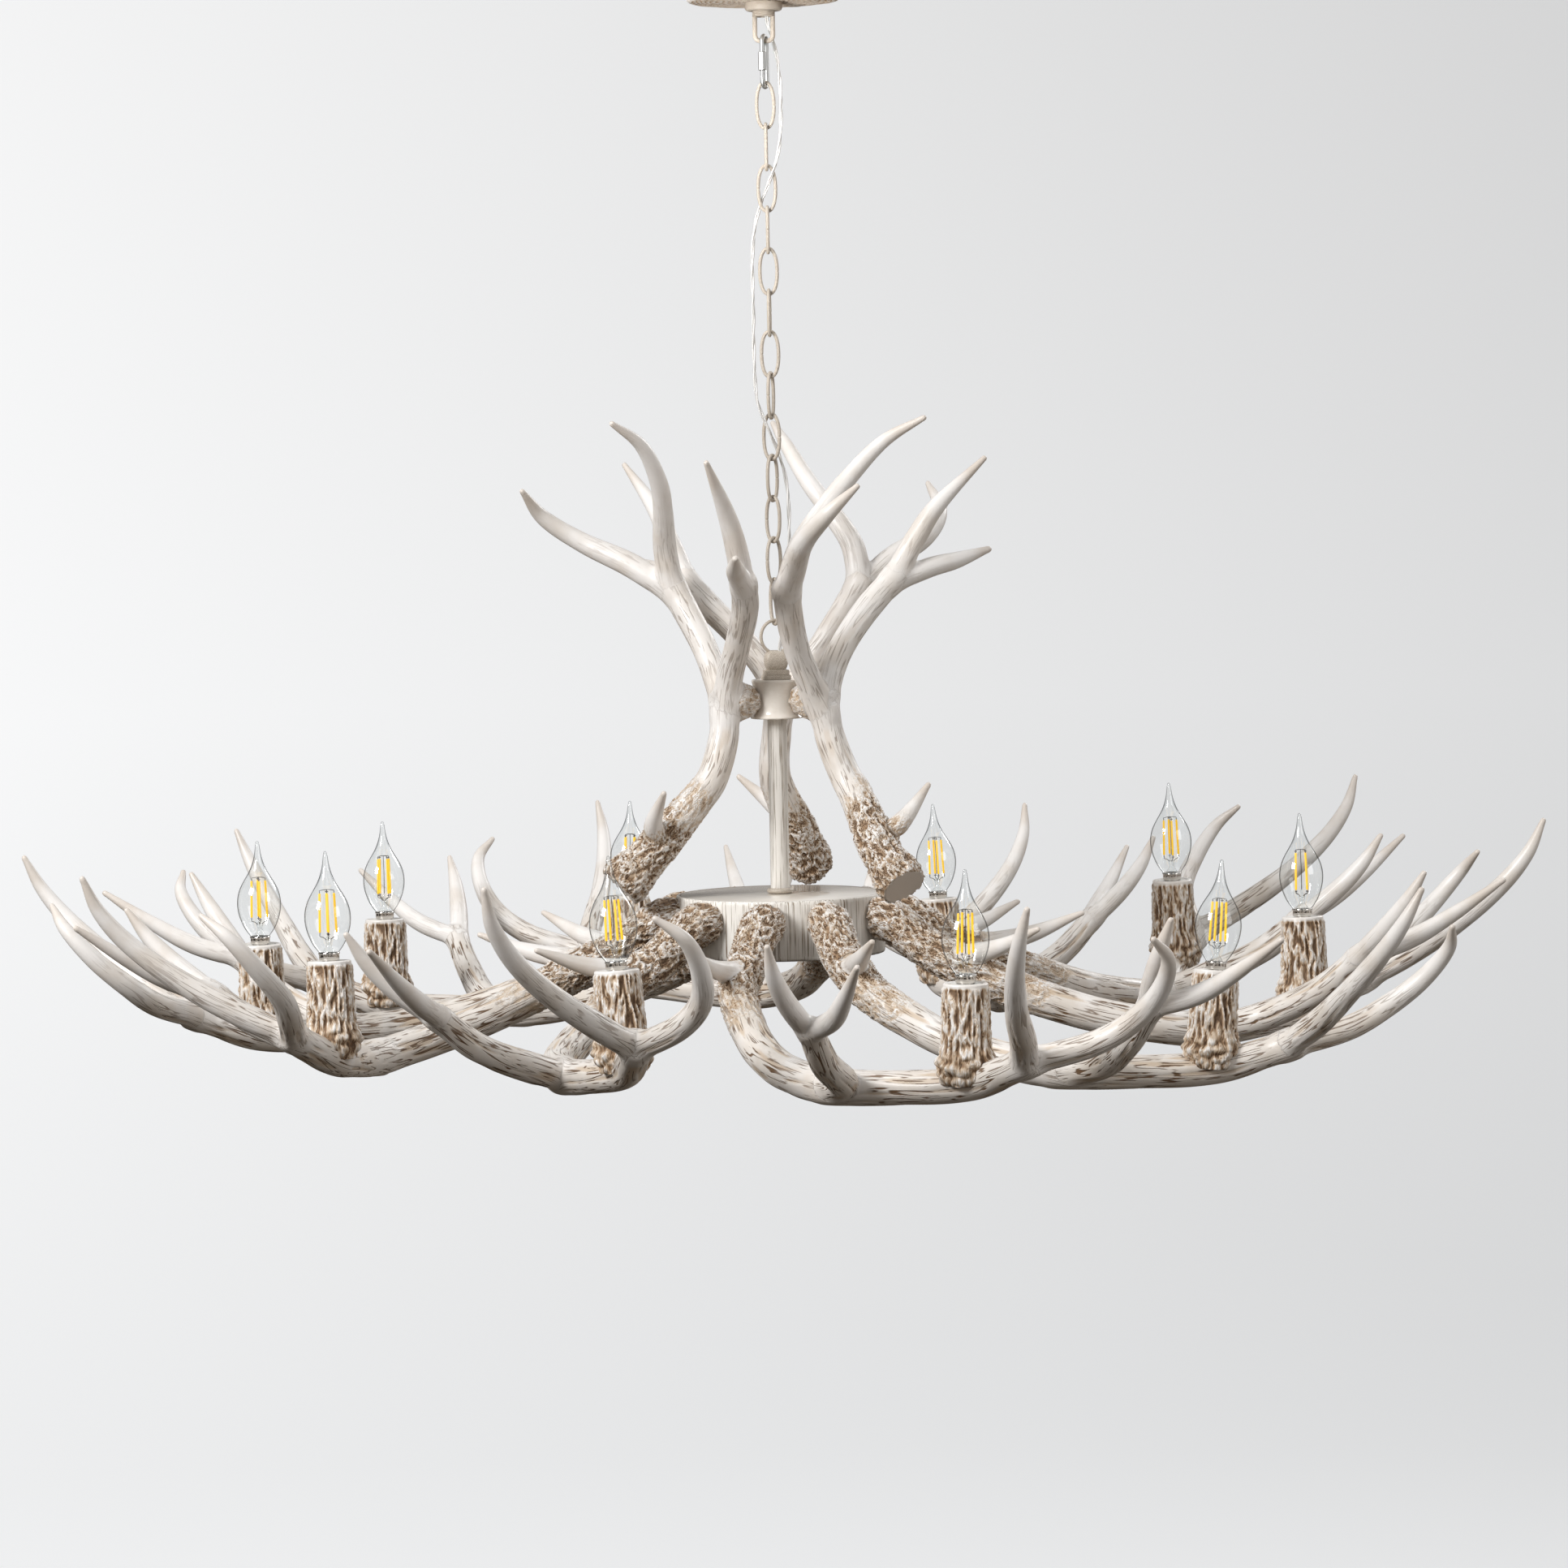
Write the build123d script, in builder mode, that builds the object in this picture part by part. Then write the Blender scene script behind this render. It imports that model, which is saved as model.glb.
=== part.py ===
"""Antler chandelier: ten candle antlers round a hub, three crown antlers on a stem, hung on a chain.

Millimetres.  The origin is the middle of the canopy's seat on the ceiling and +Z points up, so
every level of the hanging light is negative.  +Y points away from the side it is looked at from.
"""

from build123d import *

import os
from math import radians, tan

# ---- ceiling fitting ------------------------------------------------------------------------
CANOPY_D = 137
CANOPY_HEIGHT = 25
CANOPY_WALL = 3
CANOPY_EDGE = 3
STRAP_LENGTH = 105
STRAP_WIDTH = 20
STRAP_THICK = 2
BOX_SCREW_SPACING = 88.9
BOX_SCREW_HOLE_D = 4.5
GROUND_SCREW_X = 22
GROUND_SCREW_D = 4
GROUND_SCREW_HEAD_D = 8
GROUND_SCREW_HEAD = 2.4
NIPPLE_D = 13
NIPPLE_BORE_D = 9
NIPPLE_LENGTH = 28
LOCKNUT_ACROSS = 20
LOCKNUT_HEIGHT = 4
RING_NUT_D = 33
RING_NUT_HEIGHT = 8
NECK_D = 20.4
NECK_LENGTH = 5
NECK_TOP_REACH = 5
THREAD_GAP = 0.3
LOOP_WIDTH = 20
LOOP_HEIGHT = 23.4
LOOP_BAR = 4.2
LOOP_CORNER = 5
CORNER_STEPS = 3
BAR_SIDES = 8

# ---- chain ----------------------------------------------------------------------------------
HANG_GAP = 0.3
QUICK_LINK_LENGTH = 48.8
QUICK_LINK_WIDTH = 16
QUICK_LINK_WIRE = 4
QUICK_LINK_TURN = -110
SLEEVE_NUT_LENGTH = 17
SLEEVE_NUT_ACROSS = 6.6
QUICK_LINK_MOUTH = 5
QUICK_LINK_MOUTH_DROP = 3.5
LINK_COUNT = 13
LINK_LENGTH = 43.25
LINK_WIDTH = 18.5
LINK_WIRE = 3.2
LINK_TWIST = (0, 0, 0, 0, 0, -4, -10, -18, -26, -34, -42, -50, -62)
WIRE_SIDES = 6
LINK_BEND_STEPS = 4
RING_BEND_STEPS = 6

# ---- hanging ring, finial, collar and stem ----------------------------------------------------
RING_D = 32.2
RING_WIRE = 3
RING_COVER = 1
FINIAL_PLATE = 24.7
FINIAL_PLATE_HEIGHT = 4
FINIAL_STEP = 22
FINIAL_STEP_HEIGHT = 4.5
FINIAL_CUBE = 20
FINIAL_CUBE_FOOT = 17
FINIAL_CUBE_CROWN = 13
FINIAL_TURN = 8
FINIAL_HEIGHT = 26
COLLAR_TOP_D = 44
COLLAR_WAIST_D = 41
COLLAR_LIP_D = 47
COLLAR_HEIGHT = 34.7
COLLAR_WALL = 3
COLLAR_WAIST_SHARE = 0.55
STEM_D = 17
STEM_WALL = 1.5
STEM_LENGTH = 156.2
STEM_RING_D = 24
STEM_RING_HEIGHT = 5

# ---- hub --------------------------------------------------------------------------------------
HUB_D = 186
HUB_HEIGHT = 53
HUB_WALL = 5
TOP_PLATE_RIM = 4.1
TOP_PLATE_THICK = 3
COVER_THICK = 2
COVER_NUT_ACROSS = 27
COVER_NUT_HEIGHT = 7
WIRE_SLOT_HEIGHT = 30
WIRE_SLOT_WIDTH = 10

# ---- candle antlers: each casting's own frame starts at the middle of its root face -------------
ROOT_TRAIL = 27.5
ROOT_DROP = 15
BOSS_D = 37
BOSS_BELOW = 5
BOSS_LENGTH = 8
CANDLE_OUT = 312
CANDLE_ACROSS = 215
BEAM_UNDER_CANDLE = -102
SECTION_SIDES = 5

# Points are (out, across, up, radius) in mm.
CANDLE_BEAM = (
    (-10, 1, -3, 17.5),
    (8, -1, -7, 18.5),
    (22, -3, -15, 17.5),
    (50, -6, -33, 17.5),
    (97, -7, -55, 17),
    (145, 9, -76, 16.5),
    (190, 28, -92, 16.5),
    (236, 57, -104, 16.5),
    (268, 98, -110, 16.5),
    (292, 156, -108, 15.5),
    (CANDLE_OUT, CANDLE_ACROSS, BEAM_UNDER_CANDLE, 15),
    (353, 275, -75, 13.5),
)
BROW_TINE = ((66, -6, -40, 11), (118, -23, -31, 8), (166, -35, -13, 2.5))
FORK_TINE = ((264, 92, -110, 12), (307, 113, -102, 14), (365, 107, -79, 12.5), (414, 102, -44, 11))
FORK_NEAR = ((405, 101, -50, 9.5), (440, 87, -20, 9), (478, 79, 26, 2.5))
FORK_FAR = ((400, 100, -50, 9.5), (447, 127, -33, 9.5), (522, 156, 15, 2.5))
TIP_TINE = (
    (346, 266, -80, 11),
    (393, 270, -56, 11.5),
    (436, 270, -30, 10),
    (476, 273, 1, 8.5),
    (515, 287, 60, 2.5),
)
HOOK_TINE = (
    (346, 266, -80, 11),
    (351, 322, -63, 11),
    (362, 361, -37, 9.5),
    (388, 383, -4, 7.5),
    (421, 376, 28, 2.5),
)
# Azimuth offset, lift of the far end and roll about the line to the candle, in degrees.
ANTLER_SET = (
    (0, 0.7, -1.7),
    (0.9, 2.6, 0.6),
    (-1.5, -1.4, -2.8),
    (0, -0.1, 1),
    (-0.8, -0.8, 0.8),
    (-1, -0.4, -1),
    (-1.1, 1, 2.8),
    (1, 1.7, 3.5),
    (0.3, -0.8, -0.2),
    (-2.6, -2, -4.8),
)

# ---- candles ------------------------------------------------------------------------------------
CANDLE_TOP = -19.4
CANDLE_OUTLINE = ((0, 45), (0.12, 49), (0.3, 40.5), (1, 37.5))
CANDLE_SINK = 8
CANDLE_SIDES = 8
HOLDER_D = 27
HOLDER_LENGTH = 34
HOLDER_BORE_D = 14.6
HOLDER_SIDES = 8
BULB_CAP_D = 18.2
BULB_CAP_HEIGHT = 6.4
BULB_SCREW_D = 13.6
BULB_SCREW_LENGTH = 20
BULB_SIDES = 8
# Glass outline as (height above the candle, radius).
BULB_OUTLINE = (
    (BULB_CAP_HEIGHT, 9),
    (20, 16),
    (36, 19.6),
    (48, 17.7),
    (60, 11),
    (75, 4.3),
    (93, 1.4),
)

# ---- crown antlers: measured from the light's own axis and the hub's top ------------------------
CROWN_AZIMUTHS = (-162.2, -43.9, 78.7)
CROWN_BEAM = (
    (149, 0, 12, 20.5),
    (141, 1, 20, 22),
    (127, 2, 34, 18),
    (108, 6, 55, 16.5),
    (81, 15, 87, 15),
    (66, 16, 107, 14),
    (54, 11, 140, 13.5),
    (51, 7, 172, 14.5),
)
CROWN_KNOB = ((56, 9, 172, 10), (38, 6, 173, 16), (18, 3, 173, 14.5))
CROWN_SPUR = ((113, 4, 49, 10), (125, 27, 68, 8), (125, 61, 97, 2.5))
LEFT_FORK = ((50, 8, 160, 12), (51, -9, 187, 12), (55, -29, 215, 11.5), (64, -48, 245, 12), (77, -67, 278, 12.5))
LEFT_HIGH = (
    (75, -64, 270, 11),
    (84, -56, 308, 10.5),
    (92, -33, 341, 9),
    (102, -12, 368, 8),
    (124, 11, 400, 6),
    (156, 29, 420, 2.5),
)
LEFT_LOW = ((73, -62, 268, 11), (107, -87, 294, 11), (144, -114, 315, 9), (178, -121, 338, 7), (201, -107, 362, 2.5))
RIGHT_FORK = ((50, 7, 160, 12), (49, 18, 195, 12), (48, 43, 228, 11.5), (51, 72, 257, 12), (60, 97, 282, 11.5))
RIGHT_HIGH = ((58, 92, 276, 10.5), (71, 110, 314, 9.5), (85, 126, 344, 7.5), (111, 159, 384, 2.5))
RIGHT_LOW = ((57, 90, 274, 10), (74, 124, 287, 9), (84, 150, 293, 7.5), (94, 182, 302, 3))

# ---- supply cord -------------------------------------------------------------------------------
CORD_D = 3.6
CORD_SIDES = 5
CORD_HOLE_D = 5
CORD_EXIT = (3, -5)
# Route by hand from the neck to the finial, as (right, back, height over the hub's top).
CORD_ROUTE = (
    (2, 0, 800),
    (2, 1.5, 784),
    (3, 5.5, 771),
    (8.5, 9, 755),
    (13, 6, 732),
    (14, 0, 700),
    (13, -5, 668),
    (8, -7, 645),
    (-8, 7, 607),
    (-13, 5, 585),
    (-14.5, -1, 550),
    (-14, 1, 510),
    (-14.5, -1, 470),
    (-13, -5, 440),
    (-8, -7, 425),
    (8, 7, 388),
    (13, 6, 365),
    (14.5, 0, 335),
    (13.5, -4, 300),
    (12, -7, 268),
    (8, -7, 238),
    (4, -6, 224),
    (3, -5, 213),
)

# ---- levels, from the ceiling down --------------------------------------------------------------
canopy_bottom = -CANOPY_HEIGHT
neck_top = canopy_bottom - RING_NUT_HEIGHT
loop_top = neck_top - NECK_LENGTH
loop_bottom = loop_top - LOOP_HEIGHT
quick_link_top = loop_bottom + LOOP_BAR + HANG_GAP + QUICK_LINK_WIRE
quick_link_bottom = quick_link_top - QUICK_LINK_LENGTH
chain_top = quick_link_bottom + QUICK_LINK_WIRE + HANG_GAP + LINK_WIRE
link_pitch = LINK_LENGTH - 2 * LINK_WIRE - HANG_GAP
chain_bottom = chain_top - (LINK_COUNT - 1) * link_pitch - LINK_LENGTH
ring_centre = chain_bottom + LINK_WIRE + HANG_GAP + RING_WIRE - RING_D / 2
finial_top = ring_centre - RING_D / 2 + RING_WIRE + RING_COVER
collar_top = finial_top - FINIAL_HEIGHT
collar_bottom = collar_top - COLLAR_HEIGHT
hub_top = collar_bottom - STEM_LENGTH
hub_bottom = hub_top - HUB_HEIGHT

os.makedirs("parts", exist_ok=True)


def save(shape, name):
    """Label one sub-part and write it as its own STEP file."""
    shape.label = name
    export_step(shape, f"parts/{name}.step")


def ring(plane, radius, sides):
    """The corners of a regular polygon drawn on a plane."""
    corners = [Vector(radius, 0, 0).rotate(Axis.Z, 360 * corner / sides) for corner in range(sides)]
    return [plane.from_local_coords(corner) for corner in corners]


def skin(rings, closed=False):
    """A solid with flat facets stretched from ring to ring, and over both ends unless it is closed."""
    facets = []
    spans = list(zip(rings, rings[1:]))
    if closed:
        spans.append((rings[-1], rings[0]))
    for near, far in spans:
        for here, there in zip(range(len(near)), list(range(1, len(near))) + [0]):
            facets.append(Face(Wire.make_polygon((near[here], near[there], far[there]))))
            facets.append(Face(Wire.make_polygon((near[here], far[there], far[here]))))
    if not closed:
        facets += [Face(Wire.make_polygon(end)) for end in (rings[0], rings[-1])]
    return Solid(Shell(facets))


def branch(points, sides=SECTION_SIDES):
    """A tapering stretch of antler: one polygon at each point, square to a smooth curve through them."""
    spine = Spline(*[Vector(*point[:3]) for point in points])
    side = Vector(0, 1, 0)
    rings = []
    for *place, radius in points:
        tangent = spine.tangent_at(spine.param_at_point(Vector(*place)))
        side = (side - tangent * side.dot(tangent)).normalized()
        rings.append(ring(Plane(origin=place, x_dir=side, z_dir=tangent), radius, sides))
    return skin(rings)


def turned(outline, sides, place=(0, 0)):
    """An upright solid of many flat sides, from (level, radius) pairs and the place of its axis."""
    return skin([ring(Plane((*place, level)), radius, sides) for level, radius in outline])


def wire_loop(length, width, wire, bend_steps=LINK_BEND_STEPS):
    """A closed oval of wire standing in XZ about the origin, faceted round its bends."""
    bend = (width - wire) / 2
    shoulder = (length - width) / 2
    rings = []
    for middle, start in ((shoulder, 0), (-shoulder, 180)):
        steps = bend_steps + 1 if shoulder > 0 else bend_steps
        for step in range(steps):
            angle = start + 180 * step / bend_steps
            outward = Vector(1, 0, 0).rotate(Axis.Y, -angle)
            station = Plane(outward * bend + Vector(0, 0, middle), x_dir=outward, z_dir=outward.cross(Vector(0, 1, 0)))
            rings.append(ring(station, wire / 2, WIRE_SIDES))
    return skin(rings, closed=True)


def link_azimuth(index):
    """Direction of a chain link's own plane, counted from +X."""
    return 90 * index + LINK_TWIST[index]


def tube(outer_d, inner_d, bottom, top):
    """A round tube on the light's axis between two levels."""
    with BuildPart() as pipe:
        with BuildSketch(Plane.XY.offset(bottom)):
            Circle(outer_d / 2)
            Circle(inner_d / 2, mode=Mode.SUBTRACT)
        extrude(amount=top - bottom)
    return pipe.part


def hex_nut(across, bore_d, bottom, top):
    """A hexagon nut on the light's axis between two levels."""
    with BuildPart() as nut:
        with BuildSketch(Plane.XY.offset(bottom)):
            RegularPolygon(across / 2, 6, major_radius=False)
            Circle(bore_d / 2, mode=Mode.SUBTRACT)
        extrude(amount=top - bottom)
    return nut.part


# ---- ceiling fitting ------------------------------------------------------------------------
with BuildPart() as mounting_strap:
    with BuildSketch(Plane.XY.offset(-STRAP_THICK)):
        SlotOverall(STRAP_LENGTH, STRAP_WIDTH)
        Circle(NIPPLE_D / 2, mode=Mode.SUBTRACT)
        with GridLocations(BOX_SCREW_SPACING, 0, 2, 1):
            Circle(BOX_SCREW_HOLE_D / 2, mode=Mode.SUBTRACT)
        with Locations((GROUND_SCREW_X, 0)):
            Circle(GROUND_SCREW_D / 2, mode=Mode.SUBTRACT)
    extrude(amount=STRAP_THICK)
save(mounting_strap.part, "mounting_strap")

with BuildPart() as ground_screw:
    with BuildSketch(Plane.XY.offset(-STRAP_THICK)):
        with Locations((GROUND_SCREW_X, 0)):
            RegularPolygon(GROUND_SCREW_HEAD_D / 2, 6)
    extrude(amount=-GROUND_SCREW_HEAD)
    with BuildSketch(Plane.XY.offset(-STRAP_THICK)):
        with Locations((GROUND_SCREW_X, 0)):
            Circle(GROUND_SCREW_D / 2)
    extrude(amount=STRAP_THICK)
save(ground_screw.part, "ground_screw")

save(tube(NIPPLE_D, NIPPLE_BORE_D, -NIPPLE_LENGTH, 0), "nipple")
save(hex_nut(LOCKNUT_ACROSS, NIPPLE_D, -STRAP_THICK - LOCKNUT_HEIGHT, -STRAP_THICK), "locknut")

ring_bore_d = NECK_D + 2 * THREAD_GAP
with BuildPart() as canopy:
    with BuildSketch(Plane.XZ):
        with BuildLine():
            Polyline(
                (ring_bore_d / 2, canopy_bottom),
                (CANOPY_D / 2 - CANOPY_EDGE, canopy_bottom),
                (CANOPY_D / 2, canopy_bottom + CANOPY_EDGE),
                (CANOPY_D / 2, 0),
                (CANOPY_D / 2 - CANOPY_WALL, 0),
                (CANOPY_D / 2 - CANOPY_WALL, canopy_bottom + CANOPY_WALL),
                (ring_bore_d / 2, canopy_bottom + CANOPY_WALL),
                close=True,
            )
        make_face()
    revolve(axis=Axis.Z)
save(canopy.part, "canopy")
save(tube(RING_NUT_D, ring_bore_d, neck_top, canopy_bottom), "canopy_ring_nut")

bar_r = LOOP_BAR / 2
half_width = LOOP_WIDTH / 2 - bar_r
corner_z = loop_bottom + bar_r + LOOP_CORNER
bar_rings = [ring(Plane((half_width, 0, loop_top), x_dir=(1, 0, 0), z_dir=(0, 0, -1)), bar_r, BAR_SIDES)]
for start in (0, 90):
    middle = half_width - LOOP_CORNER if start == 0 else LOOP_CORNER - half_width
    for step in range(CORNER_STEPS + 1):
        outward = Vector(1, 0, 0).rotate(Axis.Y, start + 90 * step / CORNER_STEPS)
        station = outward * LOOP_CORNER + Vector(middle, 0, corner_z)
        bar_plane = Plane(station, x_dir=outward, z_dir=Vector(0, 1, 0).cross(outward) * -1)
        bar_rings.append(ring(bar_plane, bar_r, BAR_SIDES))
bar_rings.append(ring(Plane((-half_width, 0, loop_top), x_dir=(-1, 0, 0), z_dir=(0, 0, 1)), bar_r, BAR_SIDES))
with BuildPart() as collar_loop:
    add(skin(bar_rings))
    with BuildSketch(Plane.XY.offset(loop_top)):
        Circle(NECK_D / 2)
    extrude(amount=neck_top + RING_NUT_HEIGHT + NECK_TOP_REACH - loop_top)
    with BuildSketch(Plane.XY.offset(loop_top)):
        Circle(NIPPLE_D / 2)
    extrude(amount=neck_top + RING_NUT_HEIGHT + NECK_TOP_REACH - loop_top, mode=Mode.SUBTRACT)
save(collar_loop.part, "collar_loop")

# ---- chain ----------------------------------------------------------------------------------
quick_link_centre = (quick_link_top + quick_link_bottom) / 2
sleeve_offset = (QUICK_LINK_WIDTH - QUICK_LINK_WIRE) / 2
quick_link_place = Location((0, 0, quick_link_centre), (0, 0, QUICK_LINK_TURN))
with BuildPart() as quick_link:
    add(wire_loop(QUICK_LINK_LENGTH, QUICK_LINK_WIDTH, QUICK_LINK_WIRE))
    with Locations((sleeve_offset, 0, -QUICK_LINK_MOUTH_DROP)):
        Box(2 * QUICK_LINK_WIRE, 2 * QUICK_LINK_WIRE, QUICK_LINK_MOUTH, mode=Mode.SUBTRACT)
save(quick_link.part.moved(quick_link_place), "quick_link")

with BuildPart() as quick_link_sleeve:
    with BuildSketch(Plane.XY.offset(-SLEEVE_NUT_LENGTH / 2)):
        with Locations((sleeve_offset, 0)):
            RegularPolygon(SLEEVE_NUT_ACROSS / 2, 6, major_radius=False)
            Circle(QUICK_LINK_WIRE / 2 + THREAD_GAP, mode=Mode.SUBTRACT)
    extrude(amount=SLEEVE_NUT_LENGTH)
save(quick_link_sleeve.part.moved(quick_link_place), "quick_link_sleeve")

chain_link = wire_loop(LINK_LENGTH, LINK_WIDTH, LINK_WIRE)
for index in range(LINK_COUNT):
    height = chain_top - LINK_LENGTH / 2 - index * link_pitch
    link = chain_link.moved(Location((0, 0, height), (0, 0, link_azimuth(index))))
    save(link, f"chain_link_{index + 1:02d}")

# ---- hanging ring, finial, collar and stem ----------------------------------------------------
ring_azimuth = link_azimuth(LINK_COUNT - 1) + 90
upright_ring = wire_loop(RING_D, RING_D, RING_WIRE, RING_BEND_STEPS)
hanging_ring = upright_ring.moved(Location((0, 0, ring_centre), (0, 0, ring_azimuth)))
save(hanging_ring, "hanging_ring")

with BuildPart() as finial:
    with BuildSketch(Plane.XY.offset(collar_top)):
        Rectangle(FINIAL_PLATE, FINIAL_PLATE, rotation=FINIAL_TURN)
    extrude(amount=FINIAL_PLATE_HEIGHT)
    with BuildSketch(Plane.XY.offset(collar_top + FINIAL_PLATE_HEIGHT)):
        Rectangle(FINIAL_STEP, FINIAL_STEP, rotation=FINIAL_TURN)
    extrude(amount=FINIAL_STEP_HEIGHT)
    cube_foot = collar_top + FINIAL_PLATE_HEIGHT + FINIAL_STEP_HEIGHT
    cube_sizes = (FINIAL_CUBE_FOOT, FINIAL_CUBE, FINIAL_CUBE, FINIAL_CUBE_CROWN)
    for share, size in zip((0, 0.35, 0.65, 1), cube_sizes):
        with BuildSketch(Plane.XY.offset(cube_foot + share * (finial_top - cube_foot))):
            Rectangle(size, size, rotation=FINIAL_TURN)
    loft(ruled=True)
    with BuildSketch(Plane.XY.offset(collar_top)):
        with Locations(CORD_EXIT):
            Circle(CORD_HOLE_D / 2)
    extrude(amount=FINIAL_HEIGHT, mode=Mode.SUBTRACT)
    add(hanging_ring, mode=Mode.SUBTRACT)
save(finial.part, "finial")

with BuildPart() as upper_collar:
    with BuildSketch(Plane.XZ):
        with BuildLine():
            Polyline(
                (STEM_D / 2, collar_bottom),
                (COLLAR_LIP_D / 2, collar_bottom),
                (COLLAR_WAIST_D / 2, collar_bottom + COLLAR_HEIGHT * COLLAR_WAIST_SHARE),
                (COLLAR_TOP_D / 2, collar_top),
                (STEM_D / 2 - STEM_WALL, collar_top),
                (STEM_D / 2 - STEM_WALL, collar_top - COLLAR_WALL),
                (STEM_D / 2, collar_top - COLLAR_WALL),
                close=True,
            )
        make_face()
    revolve(axis=Axis.Z)
save(upper_collar.part, "upper_collar")

with BuildPart() as stem_tube:
    add(tube(STEM_D, STEM_D - 2 * STEM_WALL, hub_bottom - COVER_NUT_HEIGHT, collar_top - COLLAR_WALL))
    with Locations((0, 0, (hub_top - TOP_PLATE_THICK + hub_bottom) / 2)):
        Box(STEM_D, WIRE_SLOT_WIDTH, WIRE_SLOT_HEIGHT, mode=Mode.SUBTRACT)
save(stem_tube.part, "stem_tube")
save(tube(STEM_RING_D, STEM_D, hub_top, hub_top + STEM_RING_HEIGHT), "stem_base_ring")

# ---- hub --------------------------------------------------------------------------------------
top_plate_d = HUB_D - 2 * TOP_PLATE_RIM
save(tube(top_plate_d, STEM_D, hub_top - TOP_PLATE_THICK, hub_top), "hub_top_plate")
with BuildPart() as hub_drum:
    with BuildSketch(Plane.XZ):
        with BuildLine():
            Polyline(
                (HUB_D / 2 - HUB_WALL, hub_bottom),
                (HUB_D / 2, hub_bottom),
                (HUB_D / 2, hub_top),
                (top_plate_d / 2, hub_top),
                (top_plate_d / 2, hub_top - TOP_PLATE_THICK),
                (HUB_D / 2 - HUB_WALL, hub_top - TOP_PLATE_THICK),
                close=True,
            )
        make_face()
    revolve(axis=Axis.Z)
save(hub_drum.part, "hub_drum")
save(tube(HUB_D - 2 * HUB_WALL, STEM_D, hub_bottom, hub_bottom + COVER_THICK), "hub_bottom_cover")
save(hex_nut(COVER_NUT_ACROSS, STEM_D, hub_bottom - COVER_NUT_HEIGHT, hub_bottom), "cover_nut")

# ---- candle antlers -----------------------------------------------------------------------------
lean_axis = Axis((0, 0, 0), (CANDLE_OUT, CANDLE_ACROSS, 0))
lift_axis = Axis((0, 0, 0), (CANDLE_ACROSS, -CANDLE_OUT, 0))


def set_on_hub(piece, index):
    """Turn a piece from the casting's own frame to its place on the hub."""
    offset, lift, roll = ANTLER_SET[index]
    azimuth = 360 / len(ANTLER_SET) * index - ROOT_TRAIL + offset
    leaned = piece.rotate(lift_axis, lift).rotate(lean_axis, roll)
    seated = leaned.moved(Location((HUB_D / 2 + BOSS_LENGTH, 0, hub_top - ROOT_DROP)))
    return seated.rotate(Axis.Z, azimuth)


with BuildPart() as candle_antler:
    add(branch(CANDLE_BEAM))
    split(bisect_by=Plane.YZ)
    for tine in (BROW_TINE, FORK_TINE, FORK_NEAR, FORK_FAR, TIP_TINE, HOOK_TINE):
        add(branch(tine))

candle_foot = BEAM_UNDER_CANDLE + CANDLE_SINK
candle_place = (CANDLE_OUT, CANDLE_ACROSS)
sleeve_height = CANDLE_TOP - candle_foot
sleeve_outline = [(candle_foot + share * sleeve_height, diameter / 2) for share, diameter in CANDLE_OUTLINE]
with BuildPart() as candle_sleeve:
    add(turned(sleeve_outline, CANDLE_SIDES, candle_place))
    with BuildSketch(Plane((*candle_place, CANDLE_TOP))):
        RegularPolygon(HOLDER_D / 2, HOLDER_SIDES)
    extrude(amount=-HOLDER_LENGTH, mode=Mode.SUBTRACT)
    add(candle_antler.part, mode=Mode.SUBTRACT)

with BuildPart() as lampholder:
    with BuildSketch(Plane((*candle_place, CANDLE_TOP))):
        RegularPolygon(HOLDER_D / 2, HOLDER_SIDES)
    extrude(amount=-HOLDER_LENGTH)
    with BuildSketch(Plane((*candle_place, CANDLE_TOP))):
        RegularPolygon(HOLDER_BORE_D / 2, HOLDER_SIDES)
    extrude(amount=-BULB_SCREW_LENGTH - 2 * HANG_GAP, mode=Mode.SUBTRACT)

bulb_base = CANDLE_TOP + HANG_GAP
with BuildPart() as bulb:
    with BuildSketch(Plane((*candle_place, bulb_base))):
        RegularPolygon(BULB_SCREW_D / 2, HOLDER_SIDES)
    extrude(amount=-BULB_SCREW_LENGTH)
    with BuildSketch(Plane((*candle_place, bulb_base))):
        RegularPolygon(BULB_CAP_D / 2, BULB_SIDES)
    extrude(amount=BULB_CAP_HEIGHT - HANG_GAP)
    add(turned([(CANDLE_TOP + height, radius) for height, radius in BULB_OUTLINE], BULB_SIDES, candle_place))

with BuildPart() as boss_blank:
    with BuildSketch(Plane((0, 0, -BOSS_BELOW), x_dir=(0, 1, 0), z_dir=(1, 0, 0))):
        RegularPolygon(BOSS_D / 2, HOLDER_SIDES)
    extrude(amount=-2 * BOSS_LENGTH)

with BuildPart() as antler_bosses:
    for index in range(len(ANTLER_SET)):
        add(set_on_hub(boss_blank.part, index))
    with Locations((0, 0, hub_top - HUB_HEIGHT / 2)):
        Cylinder(HUB_D / 2, 2 * HUB_HEIGHT, mode=Mode.SUBTRACT)
save(antler_bosses.part, "antler_bosses")

sleeves = []
holders = []
for index in range(len(ANTLER_SET)):
    save(set_on_hub(candle_antler.part, index), f"candle_antler_{index + 1:02d}")
    save(set_on_hub(bulb.part, index), f"bulb_{index + 1:02d}")
    sleeves.append(set_on_hub(candle_sleeve.part, index))
    holders.append(set_on_hub(lampholder.part, index))
save(Compound(children=sleeves), "candle_sleeves")
save(Compound(children=holders), "lampholders")

# ---- crown antlers ------------------------------------------------------------------------------
with BuildPart() as crown_blank:
    add(branch(CROWN_BEAM))
    for limb in (CROWN_KNOB, CROWN_SPUR, LEFT_FORK, LEFT_HIGH, LEFT_LOW, RIGHT_FORK, RIGHT_HIGH, RIGHT_LOW):
        add(branch(limb))

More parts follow.
